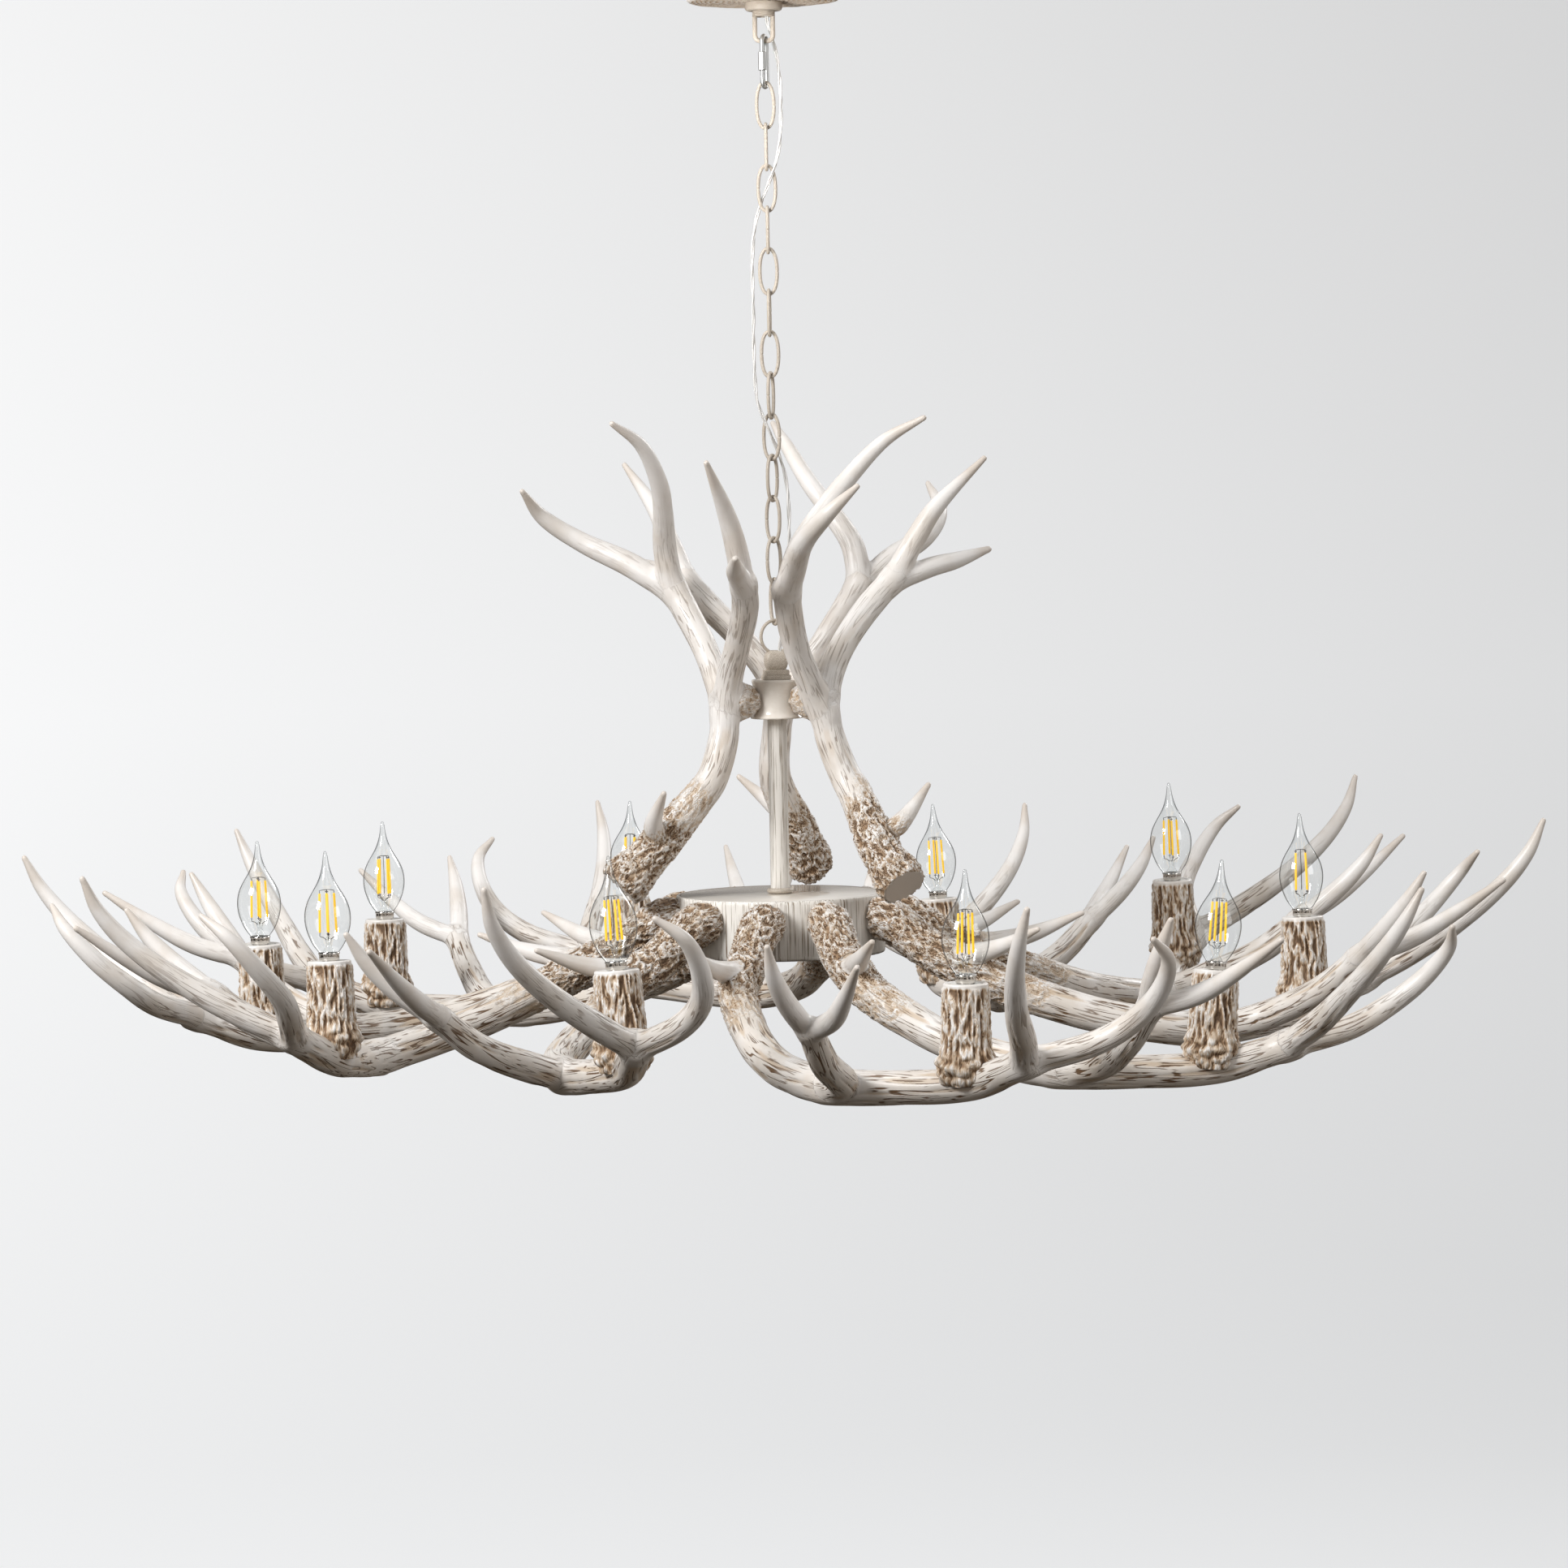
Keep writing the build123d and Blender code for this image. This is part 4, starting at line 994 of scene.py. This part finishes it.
# %% Stem, ring at its foot, and collar
STEM_BORE = 7
RING_ACROSS, RING_UP = 3.1, 2.4   # half the ring's section
stem_low, stem_high = level("stem_tube", False) / MM, level("stem_tube") / MM
stem_profile = ((STEM_BORE, stem_low), (STEM_RADIUS, stem_low), (STEM_RADIUS, stem_high),
                (STEM_BORE, stem_high))
stem = turned("stem", stem_profile, brushed, 64, bevel=0.3)
settle(stem, "fixture", ["stem_tube"])
ring_profile = [(STEM_RADIUS, hub_mm)]
ring_profile += [(8.9 + RING_ACROSS * math.cos(a), hub_mm + 2.5 + RING_UP * math.sin(a))
                 for a in np.radians(range(-75, 91, 15))]
ring = turned("stem_foot_ring", ring_profile + [(STEM_RADIUS, hub_mm + 4.9)], antique, 64)
settle(ring, "fixture", ["stem_base_ring"])
top, low = COLLAR_TOP / MM, COLLAR_BOTTOM / MM
collar_profile = (
    (STEM_RADIUS, low), (21.8, low), (23.2, low + 0.3), (23.5, low + 1.2), (23, low + 2.3),
    (21.9, low + 3.6), (21.2, low + 6), (20.7, low + 11), (20.5, low + 17), (20.6, low + 24),
    (21, low + 29), (21.6, low + 31.6), (22, low + 32.6), (22, low + 34), (21.6, top),
    (STEM_RADIUS, top),
)
settle(turned("collar", collar_profile, enamel, 128), "fixture", ["upper_collar"])
print("collar height, mm:", round(top - low, 1))

# %% [markdown]
# ## Square pieces
# The finial is a pillow-shaped block on two square plates.  Stacked sections of a rounded square do
# all three: the power in the formula sets how square a section is.

# %% The finial: (height, half width) of its sections in mm
FINIAL = (
    (0, 12.0), (0.3, 12.35), (3.4, 12.35), (3.9, 12.0), (4.0, 10.7), (4.3, 11.0), (8.0, 11.0),
    (8.5, 10.6), (8.6, 7.9), (9.6, 8.4), (11.5, 9.3), (14, 9.9), (17, 10.0), (20, 9.8),
    (22.6, 9.1), (24.5, 7.9), (25.6, 6.2), (26, 4.2),
)
FINIAL_TURN = 8   # degrees
SQUARENESS, SECTION_POINTS = 7, 64


def stacked(name, sections, material, turn_deg):
    """A solid from (level, half width) sections of a rounded square, in millimetres."""
    c, s = np.cos(full_turn(SECTION_POINTS)), np.sin(full_turn(SECTION_POINTS))
    reach = (np.abs(c) ** SQUARENESS + np.abs(s) ** SQUARENESS) ** (-1 / SQUARENESS)
    a = math.radians(turn_deg)
    x, y = reach * c, reach * s
    x, y = x * math.cos(a) - y * math.sin(a), x * math.sin(a) + y * math.cos(a)
    vertices = np.vstack([np.column_stack((half * x, half * y, z + 0 * x)) for z, half in sections])
    faces = bands(len(sections), SECTION_POINTS) + lids(len(sections), SECTION_POINTS)
    return show(name, mesh_of(name, vertices, faces), material, angle=38)


foot = COLLAR_TOP / MM
finial = stacked("finial_block", [(foot + z, half) for z, half in FINIAL], antique, FINIAL_TURN)
settle(finial, "fixture", ["finial"])
print("finial top, mm:", round(foot + FINIAL[-1][0], 2))

# %% [markdown]
# ## Bent wire
# Chain links, the hanging ring, the quick link and the loop under the canopy are bent from bar.  A
# closed centre line with a tube swept round it makes each of them.  The quick link has straight
# sides, the chain links have curved ones, and one mesh serves all thirteen links.

# %% Wire ovals
ARC_STEPS, BAR_SIDES = 16, 16
JOINT_DEPTH, JOINT_HALF = 0.45, 0.35   # mm: the groove where a link's ends meet
LINK_SQUARENESS = 2.25   # 2 would be an ellipse


def oval(length, width, wire):
    """Rows of a closed oval standing in XZ: two straights and two half circles."""
    bend, shoulder = (width - wire) / 2, (length - width) / 2
    rows = []
    for middle, start in ((shoulder, 0), (-shoulder, 180)):
        for step in range(ARC_STEPS + 1):
            a = math.radians(start + 180 * step / ARC_STEPS)
            rows.append((bend * math.cos(a), 0, middle + bend * math.sin(a), wire / 2))
    rows = np.array(rows)
    keep = np.linalg.norm(rows[:, :3] - np.roll(rows, 1, 0)[:, :3], axis=1) > 1e-6
    return rows[keep]


def egg(length, width, wire):
    """Rows of a chain link: curved sides, and a butt joint halfway down one of them."""
    a = np.concatenate((np.linspace(-0.06, 0.06, 13), np.linspace(0.1, 2 * math.pi - 0.1, 61)))
    flatten = lambda v: np.sign(v) * np.abs(v) ** (2 / LINK_SQUARENESS)
    x, z = (width - wire) / 2 * flatten(np.cos(a)), (length - wire) / 2 * flatten(np.sin(a))
    pinch = JOINT_DEPTH * np.exp(-(z / JOINT_HALF) ** 2) * (x > 0)
    return np.column_stack((x, 0 * x, z, wire / 2 - pinch))


def wire_mesh_of(name, rows):
    """A closed tube along rows of centres and radii."""
    return mesh_of(name, *hoops(rows, BAR_SIDES, closed=True))


def midway(node):
    """A matrix that lifts a piece to the middle height of a CAD node."""
    low_corner, high_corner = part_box(node)
    return Matrix.Translation((0, 0, (low_corner.z + high_corner.z) / 2))


def about_z(degrees):
    """A turn about the upright axis."""
    return Matrix.Rotation(math.radians(degrees), 4, "Z")


# %% Chain and ring: (length, width, wire) in mm
LINK, HANGING_RING = (43.25, 18.5, 3.2), (32.2, 32.2, 3)
LINK_TWIST = (0, 0, 0, 0, 0, -4, -10, -18, -26, -34, -42, -50, -62)   # degrees down the chain
link_mesh = wire_mesh_of("link_pattern", egg(*LINK))
for index, twist in enumerate(LINK_TWIST):
    name = f"chain_link_{index + 1:02d}"
    link = show(f"link_{index + 1:02d}", link_mesh, antique, angle=50)
    settle(link, name, [name], midway(name) @ about_z(90 * index + twist))
hoop = show("ring", wire_mesh_of("ring", oval(*HANGING_RING)), antique, angle=50)
settle(hoop, "fixture", ["hanging_ring"],
       midway("hanging_ring") @ about_z(90 * len(LINK_TWIST) + LINK_TWIST[-1]))
print("links:", len(LINK_TWIST))

# %% [markdown]
# ## Quick link
# The link under the loop opens with a hexagonal sleeve nut on a thread.  It is bright zinc-plated
# steel.  The thread is real geometry: a run whose radius rises and falls every turn.

# %% Zinc-plated quick link and its nut
QUICK_LENGTH, QUICK_WIDTH, QUICK_WIRE, QUICK_TURN = 48.8, 16, 4, -110   # mm and degrees
QUICK_SIDE = (QUICK_WIDTH - QUICK_WIRE) / 2
THREAD_LOW, THREAD_HIGH, THREAD_PITCH = -14, 6, 1.4
THREAD_RADIUS, THREAD_DEPTH, THREAD_STEPS = 1.85, 0.15, 48
NUT_BORE, NUT_CORNER, NUT_HALF = 2.45, 3.75, 8.4   # the flats of the bore stay clear of the wire
zinc, tree, shader = finish("steel_zinc_plated", "#C6C7C6", 0.45, Metallic=1.0)
bloom = add(tree, "ShaderNodeTexNoise", {"Scale": 260.0, "Detail": 3.0})
add(tree, "ShaderNodeMapRange", {"Value": bloom, "To Min": 0.36, "To Max": 0.55},
    to=shader.inputs["Roughness"])
quick_stand = midway("quick_link") @ about_z(QUICK_TURN)
quick_rows = oval(QUICK_LENGTH, QUICK_WIDTH, QUICK_WIRE)
fine = []
for row, after in zip(quick_rows, np.roll(quick_rows, -1, 0)):
    on_side = min(row[0], after[0]) > QUICK_SIDE - 0.1 and abs(row[2] - after[2]) > 5
    steps = THREAD_STEPS if on_side else 1
    fine += [row + (after - row) * t / steps for t in range(steps)]
quick_rows = np.array(fine)
height = quick_rows[:, 2]
cut = (quick_rows[:, 0] > QUICK_SIDE - 0.1) & (height > THREAD_LOW) & (height < THREAD_HIGH)
thread = THREAD_RADIUS + THREAD_DEPTH * np.sin(height * 2 * math.pi / THREAD_PITCH)
quick_rows[:, 3] = np.where(cut, thread, quick_rows[:, 3])
quick = show("quick_link_body", wire_mesh_of("quick_link_body", quick_rows), zinc, angle=50)
settle(quick, "quick_link", ["quick_link"], quick_stand)
nut_profile = ((NUT_BORE, -NUT_HALF), (3.3, -8.1), (NUT_CORNER, -7.6), (NUT_CORNER, 7.6),
               (3.3, 8.1), (NUT_BORE, NUT_HALF))
nut = turned("quick_link_nut", nut_profile, zinc, 6, bevel=0.2, angle=20)
settle(nut, "quick_link_sleeve", ["quick_link_sleeve"],
       quick_stand @ Matrix.Translation((QUICK_SIDE * MM, 0, 0)) @ about_z(30))
print("quick link rows:", len(quick_rows))

# %% [markdown]
# ## Loop, ring nut and canopy
# The loop is a bent bar on a threaded neck, and the ring nut holds the canopy up against the
# ceiling.  The canopy is cast to look like a slice of branch, with growth rings on its face and
# bark round its edge, so its face is a fine grid moved by noise-warped circles.

# %% Loop, neck and ring nut
BAR = 2.1   # mm, radius of the bar
LOOP_HALF, LOOP_CORNER = 7.9, 5.0
NECK_LENGTH, NECK_BORE, NUT_HOLE = 18, 6.5, 10.5
CREST, ROOT, HALF_PITCH = 10.15, 9.75, 0.6   # the neck's thread
neck_high, loop_low = level("collar_loop") / MM, level("collar_loop", False) / MM
loop_top = neck_high - NECK_LENGTH
arcs = []
for start, middle in ((0, LOOP_HALF - LOOP_CORNER), (90, LOOP_CORNER - LOOP_HALF)):
    for step in range(9):
        a = math.radians(start + 90 * step / 8)
        arcs.append((middle + LOOP_CORNER * math.cos(a), 0,
                     loop_low + BAR + LOOP_CORNER - LOOP_CORNER * math.sin(a), BAR))
legs = [(LOOP_HALF, 0, loop_top + 1, BAR), (LOOP_HALF, 0, loop_top - 6, BAR)]
far_legs = [(-x, y, z, r) for x, y, z, r in legs[::-1]]
bar = mesh_of("loop_bar", *hoops(np.array(legs + arcs + far_legs), BAR_SIDES))
loop = show("loop_bar", bar, antique, angle=50)
settle(loop, "ceiling_fitting", ["collar_loop"])
neck_profile = [(NECK_BORE, loop_top), (9.6, loop_top), (10.1, loop_top + 0.5)]
neck_profile += [(CREST if i % 2 else ROOT, loop_top + 1.5 + HALF_PITCH * i) for i in range(26)]
neck = turned("neck", neck_profile + [(NECK_BORE, neck_high)], antique, 64)
settle(neck, "ceiling_fitting", ())
nut_low, nut_high = level("canopy_ring_nut", False) / MM, level("canopy_ring_nut") / MM
ring_nut_profile = (
    (NUT_HOLE, nut_low), (14.6, nut_low), (15.9, nut_low + 0.9), (16.5, nut_low + 2.4),
    (16.5, nut_high - 1), (16.1, nut_high), (NUT_HOLE, nut_high),
)
ring_nut = turned("ring_nut", ring_nut_profile, antique, 96, bevel=0.3)
settle(ring_nut, "canopy_ring_nut", ["canopy_ring_nut"])
print("loop from", round(loop_low, 1), "to", round(loop_top, 1))

# %% The carved face of the canopy
CANOPY_RADIUS, CANOPY_HEIGHT, CANOPY_WALL, CANOPY_HOLE = 68.5, 25, 3, 10.6
CARVED_TO, SPLIT_TO = 66, 62   # mm from the axis: growth rings, and splits across them
RING_SPACING, RING_DEPTH, SPLIT_DEPTH = 4.6, 0.45, 0.5
CANOPY_COLUMNS = 240
canopy_low = level("canopy", False) / MM
turn = full_turn(CANOPY_COLUMNS)
rows, glazes = [], []
for r in np.concatenate((np.linspace(CANOPY_HOLE, 65, 64), (66.2, 67.2, 68))):
    flat = circle(turn, r, 0)
    wave = (r + ripple(flat, 22, 6.6) * 5) * 2 * math.pi
    rings = np.sin(wave / RING_SPACING) + 0.5 * np.sin(wave / (RING_SPACING / 2) + 1)
    cuts = np.abs(ripple(np.column_stack((turn * 14, turn * 0 + r / 30, turn * 0)), 1.0, 2.2))
    split = np.clip(1 - 6 * cuts, 0, 1) * (r < SPLIT_TO)
    lift = RING_DEPTH * (1 - rings) / 1.5 + SPLIT_DEPTH * split
    edge = max(0, r - 65) ** 1.5 * 0.5
    rows.append(circle(turn, r, canopy_low + lift * (r < CARVED_TO) + edge))
    glazes.append(np.clip(0.45 - 0.4 * rings + 0.6 * split, 0, 1) * (r < CARVED_TO))
print("rings of points on the face:", len(rows))

# %% Its bark edge and its back
for h in np.linspace(3.4, CANOPY_HEIGHT, 16):
    spot = circle(turn, CANOPY_RADIUS, h)
    bark = np.clip(1 - np.abs(ripple(spot / (1, 1, 2.2), 4.0, 3.9)) * 2.6, -1, 1)
    rows.append(circle(turn, CANOPY_RADIUS - 0.9 + 0.8 * bark, canopy_low + h))
    glazes.append(np.clip(0.5 - 0.6 * bark, 0, 1))
back = CANOPY_RADIUS - CANOPY_WALL
for r, h in ((back, CANOPY_HEIGHT), (back, CANOPY_WALL), (CANOPY_HOLE, CANOPY_WALL)):
    rows.append(circle(turn, r, canopy_low + h))
    glazes.append(0 * turn)
faces = [(a, d, c, b) for a, b, c, d in bands(len(rows), CANOPY_COLUMNS, closed=True)]
canopy_points = np.vstack(rows)
canopy_mesh = mesh_of("canopy_casting", canopy_points, faces)
mark(canopy_mesh, canopy_points, recess=np.concatenate(glazes), crack=0.5, tip=0, sawn=0, bark=0)
canopy = show("canopy_slice", canopy_mesh, resin, angle=50)
settle(canopy, "canopy", ["canopy"])
print("canopy points:", len(canopy_points))

# %% [markdown]
# ## Fittings that keep their CAD shape
# The strap, the threaded nipple, its locknut, the earth screw and the nut under the hub are already
# exact solids.  They only need the finish of their metal.

# %% Brass, green lacquer and zinc on the CAD solids
brass, tree, shader = finish("turned_brass", "#C9A75B", 0.28, Metallic=1.0)
tarnish = add(tree, "ShaderNodeTexNoise", {"Scale": 180.0, "Detail": 3.0})
add(tree, "ShaderNodeMapRange", {"Value": tarnish, "To Min": 0.2, "To Max": 0.5},
    to=shader.inputs["Roughness"])
green, tree, shader = finish("steel_green_lacquer", "#2E7D4A", 0.3)
runs = add(tree, "ShaderNodeTexNoise", {"Scale": 600.0})
add(tree, "ShaderNodeBump", {"Height": runs, "Strength": 0.1}, to=shader.inputs["Normal"])
CAD_FINISHES = {"mounting_strap": zinc, "ground_screw": green, "nipple": brass, "locknut": brass,
                "cover_nut": antique}
for node, material in CAD_FINISHES.items():
    for material_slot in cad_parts[node].material_slots:
        material_slot.material = material
print("CAD solids with a finish:", len(CAD_FINISHES))

# %% [markdown]
# ## Supply cord
# A clear twin flex with a bare earth wire is woven down through the chain into the finial.  Its
# route is a smooth NURBS spline through the same points as the CAD cord.  Two strands are wound
# along it.  The chain holds it link by link, so it is cut at the middle of every link.

# %% The cord's line
CORD_ROUTE = (
    (2, 0, 800), (2, 1.5, 784), (3, 5.5, 771), (8.5, 9, 755), (13, 6, 732), (14, 0, 700),
    (13, -5, 668), (8, -7, 645), (-8, 7, 607), (-13, 5, 585), (-14.5, -1, 550), (-14, 1, 510),
    (-14.5, -1, 470), (-13, -5, 440), (-8, -7, 425), (8, 7, 388), (13, 6, 365), (14.5, 0, 335),
    (13.5, -4, 300), (12, -7, 268), (8, -7, 238), (4, -6, 224), (3, -5, 213),
)
line = bpy.data.curves.new("cord_line", "CURVE")
line.dimensions, line.resolution_u = "3D", 24
spline = line.splines.new("NURBS")
spline.points.add(len(CORD_ROUTE) - 1)
for point, (x, y, z) in zip(spline.points, CORD_ROUTE):
    point.co = (x * MM, y * MM, z * MM + HUB_TOP, 1)
spline.order_u, spline.use_endpoint_u = 3, True
cord_line = bpy.data.objects.new("cord_line", line)
bpy.context.scene.collection.objects.link(cord_line)
route = numbers(evaluated(cord_line, "cord_route").vertices, "co", 3) / MM
lengths = np.concatenate(([0], np.cumsum(np.linalg.norm(np.diff(route, axis=0), axis=1))))
print("cord length, mm:", round(lengths[-1]))

# %% Clear sheath and strands
STATION = 1.5   # mm from circle to circle
TWIST_LENGTH = 60.0   # mm for one turn of the strands
# Phase, radius and distance from the cord's line: two insulated strands and a bare wire.
STRANDS = ((0, 0.9, 0.88), (math.pi, 0.9, 0.88), (math.pi / 2, 0.35, 1.15))
sheath, tree, shader = finish("extruded_pvc_clear", "#F6F5F3", 0.16, Transmission_Weight=0.15,
                              IOR=1.53)
core = add(tree, "ShaderNodeTexNoise", {"Scale": 420.0})
add(tree, "ShaderNodeMix", {0: core, 6: paint("#F8F7F5"), 7: paint("#DEDBD6")}, out=2,
    to=shader.inputs["Base Color"], data_type="RGBA")
stations = np.linspace(0, lengths[-1], round(lengths[-1] / STATION))
centres = np.column_stack([np.interp(stations, lengths, route[:, axis]) for axis in range(3)])
_, sides, ups = directions(centres)
strands = []
for phase, radius, reach in STRANDS:
    a = stations / TWIST_LENGTH * 2 * math.pi + phase
    wound = centres + reach * (np.cos(a)[:, None] * sides + np.sin(a)[:, None] * ups)
    strands.append(np.column_stack((wound, radius + 0 * a)))
print("stations along the cord:", len(stations))

# %% Lengths from link to link
OVERLAP = 1   # mm that a length runs on past its cut
bodies = ["ceiling_fitting", "quick_link"] + [f"chain_link_{i:02d}" for i in range(1, 14)]
cuts = [centres[0, 2]] + [midway(name).translation.z / MM for name in bodies[1:]] + [centres[-1, 2]]
bodies.append("fixture")
for index, (upper, lower) in enumerate(zip(bodies, bodies[1:])):
    high, low = cuts[index] + OVERLAP, cuts[index + 1] - OVERLAP
    inside = np.where((centres[:, 2] <= high) & (centres[:, 2] >= low))[0]
    parts = [hoops(strand[inside], 8) for strand in strands]
    name = f"cord_{index + 1:02d}"
    flex = show(name, mesh_of(name, *joined(parts)), sheath, angle=60)
    start, end = centres[inside[0]] * MM, centres[inside[-1]] * MM
    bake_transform(flex)
    if index == 0:
        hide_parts("supply_cord")
print("cord lengths:", len(bodies) - 1)

# %% [markdown]
# ## Room and light
# A wide bowl of pale plaster stands in for floor and walls, so every view has the same quiet
# background.  In a studio such a backdrop has lamps of its own and its spill is flagged off the
# subject.  Here it glows, most on the left, and neither diffuse nor mirrored rays meet it, so the
# fill comes from the sky alone: bright from above, dim from below, with tall windows and dark
# walls between them that nickel and gloss paint can mirror.  The key lamp stands front left.

# %% Pale bowl that glows
FLOOR, FLAT, CURVE, BOWL_TOP = -2300, 5200, 3800, 6000   # mm
LEFT_GLOW, RIGHT_GLOW, FLOOR_GLOW = 0.82, 0.52, 0.84
plaster, tree, shader = finish("matt_plaster_pale", "#A8A8A8", 0.9)
shader.inputs["Emission Color"].default_value = paint("#F6F7F8")
trowel = add(tree, "ShaderNodeTexNoise", {"Scale": 6.0})
add(tree, "ShaderNodeBump", {"Height": trowel, "Strength": 0.05}, to=shader.inputs["Normal"])
spot = add(tree, "ShaderNodeNewGeometry", out="Position")
across, _, up = add(tree, "ShaderNodeSeparateXYZ", {0: spot}).node.outputs
from_left = add(tree, "ShaderNodeMapRange",
                {"Value": across, "From Min": -2.4, "From Max": 2.4, "To Min": LEFT_GLOW,
                 "To Max": RIGHT_GLOW})
from_floor = add(tree, "ShaderNodeMapRange",
                 {"Value": up, "From Min": -2.3, "From Max": -1.0, "To Min": FLOOR_GLOW,
                  "To Max": 1.0})
add(tree, "ShaderNodeMath", {0: from_left, 1: from_floor}, to=shader.inputs["Emission Strength"],
    operation="MULTIPLY")
bowl_profile = [(0, FLOOR), (FLAT, FLOOR)]
bowl_profile += [(FLAT + CURVE * math.sin(a), FLOOR + CURVE * (1 - math.cos(a)))
                 for a in np.radians(range(6, 91, 6))]
bowl = turned("backdrop_bowl", bowl_profile + [(FLAT + CURVE, BOWL_TOP)], plaster, 96, angle=60,
              open_ends=True)
bowl.visible_diffuse = False
bowl.visible_glossy = False
print("bowl across, m:", 2 * (FLAT + CURVE) * MM)

# %% Soft lamps: name, place, target, size in metres and power in watts
MIDDLE, CEILING_SEAT = (0, 0, -0.75), (0, 0, 0)
LAMPS = (
    ("key", (-3.1, -2.7, 1.5), MIDDLE, 1.5, 204), ("fill", (3.6, -2.8, 0.6), MIDDLE, 2.2, 36),
    ("kicker", (2.6, 3.2, 1.2), MIDDLE, 1.6, 60),
    ("canopy_lamp", (-0.5, -0.9, -0.5), CEILING_SEAT, 0.3, 0.9),
)
for name, place, target, size, power in LAMPS:
    lamp = bpy.data.lights.new(name, "AREA")
    lamp.size, lamp.energy = size, power
    holder = bpy.data.objects.new(name, lamp)
    holder.location = place
    holder.rotation_euler = (Vector(target) - Vector(place)).to_track_quat("-Z", "Y").to_euler()
    bpy.context.scene.collection.objects.link(holder)
bpy.data.lights["canopy_lamp"].spread = math.radians(40)
print("lamps:", len(bpy.data.lights))

# %% Soft sky
WINDOW_RATE = 9.0   # waves of the sine from left to right, in radians
DIM, BRIGHT = 0.07, 0.85
DARK_WALL, WINDOW = 0.22, 1.15
world = bpy.data.worlds.new("soft_sky")
world.use_nodes = True
sky = world.node_tree
way = add(sky, "ShaderNodeTexCoord", out="Generated")
across, _, up = add(sky, "ShaderNodeSeparateXYZ", {0: way}).node.outputs
rise = add(sky, "ShaderNodeMapRange",
           {"Value": up, "From Min": -0.8, "From Max": 0.9, "To Min": DIM, "To Max": BRIGHT})
windows = add(sky, "ShaderNodeMath", {0: across, 1: WINDOW_RATE}, operation="MULTIPLY")
windows = add(sky, "ShaderNodeMath", {0: windows}, operation="SINE")
windows = add(sky, "ShaderNodeMapRange",
              {"Value": windows, "From Min": -0.6, "From Max": 0.4, "To Min": DARK_WALL,
               "To Max": WINDOW})
shade = sky.nodes["Background"]
add(sky, "ShaderNodeMath", {0: rise, 1: windows}, to=shade.inputs["Strength"],
    operation="MULTIPLY")
tone = add(sky, "ShaderNodeMapRange", {"Value": up, "From Min": -0.5, "From Max": 0.4})
add(sky, "ShaderNodeMix", {0: tone, 6: paint("#EBD9C4"), 7: paint("#F6F7F8")}, out=2,
    to=shade.inputs["Color"], data_type="RGBA")
bpy.context.scene.world = world
bpy.context.scene.view_settings.view_transform = "Standard"
print("sky nodes:", len(sky.nodes))

# %% [markdown]
# ## Camera
# The camera's place and turn were solved from points of the photograph, so the render can be laid
# over it.

# %% Camera at the photograph's viewing angle
LENS, SENSOR = 119.42, 36   # mm
CAMERA_PLACE = (-0.0254, -4.6265, -0.43785)
CAMERA_TURNS = ((-0.0066, "Z"), (-0.0603, "X"), (0.019, "Y"), (math.pi / 2, "X"))
camera_data = bpy.data.cameras.new("camera")
camera_data.lens, camera_data.sensor_width = LENS, SENSOR
camera = bpy.data.objects.new("camera", camera_data)
bpy.context.scene.collection.objects.link(camera)
stand = Matrix.Translation(CAMERA_PLACE)
for turn, about in CAMERA_TURNS:
    stand = stand @ Matrix.Rotation(turn, 4, about)
camera.matrix_world = stand
bpy.context.scene.camera = camera
print("camera at", [round(v, 3) for v in camera.location])
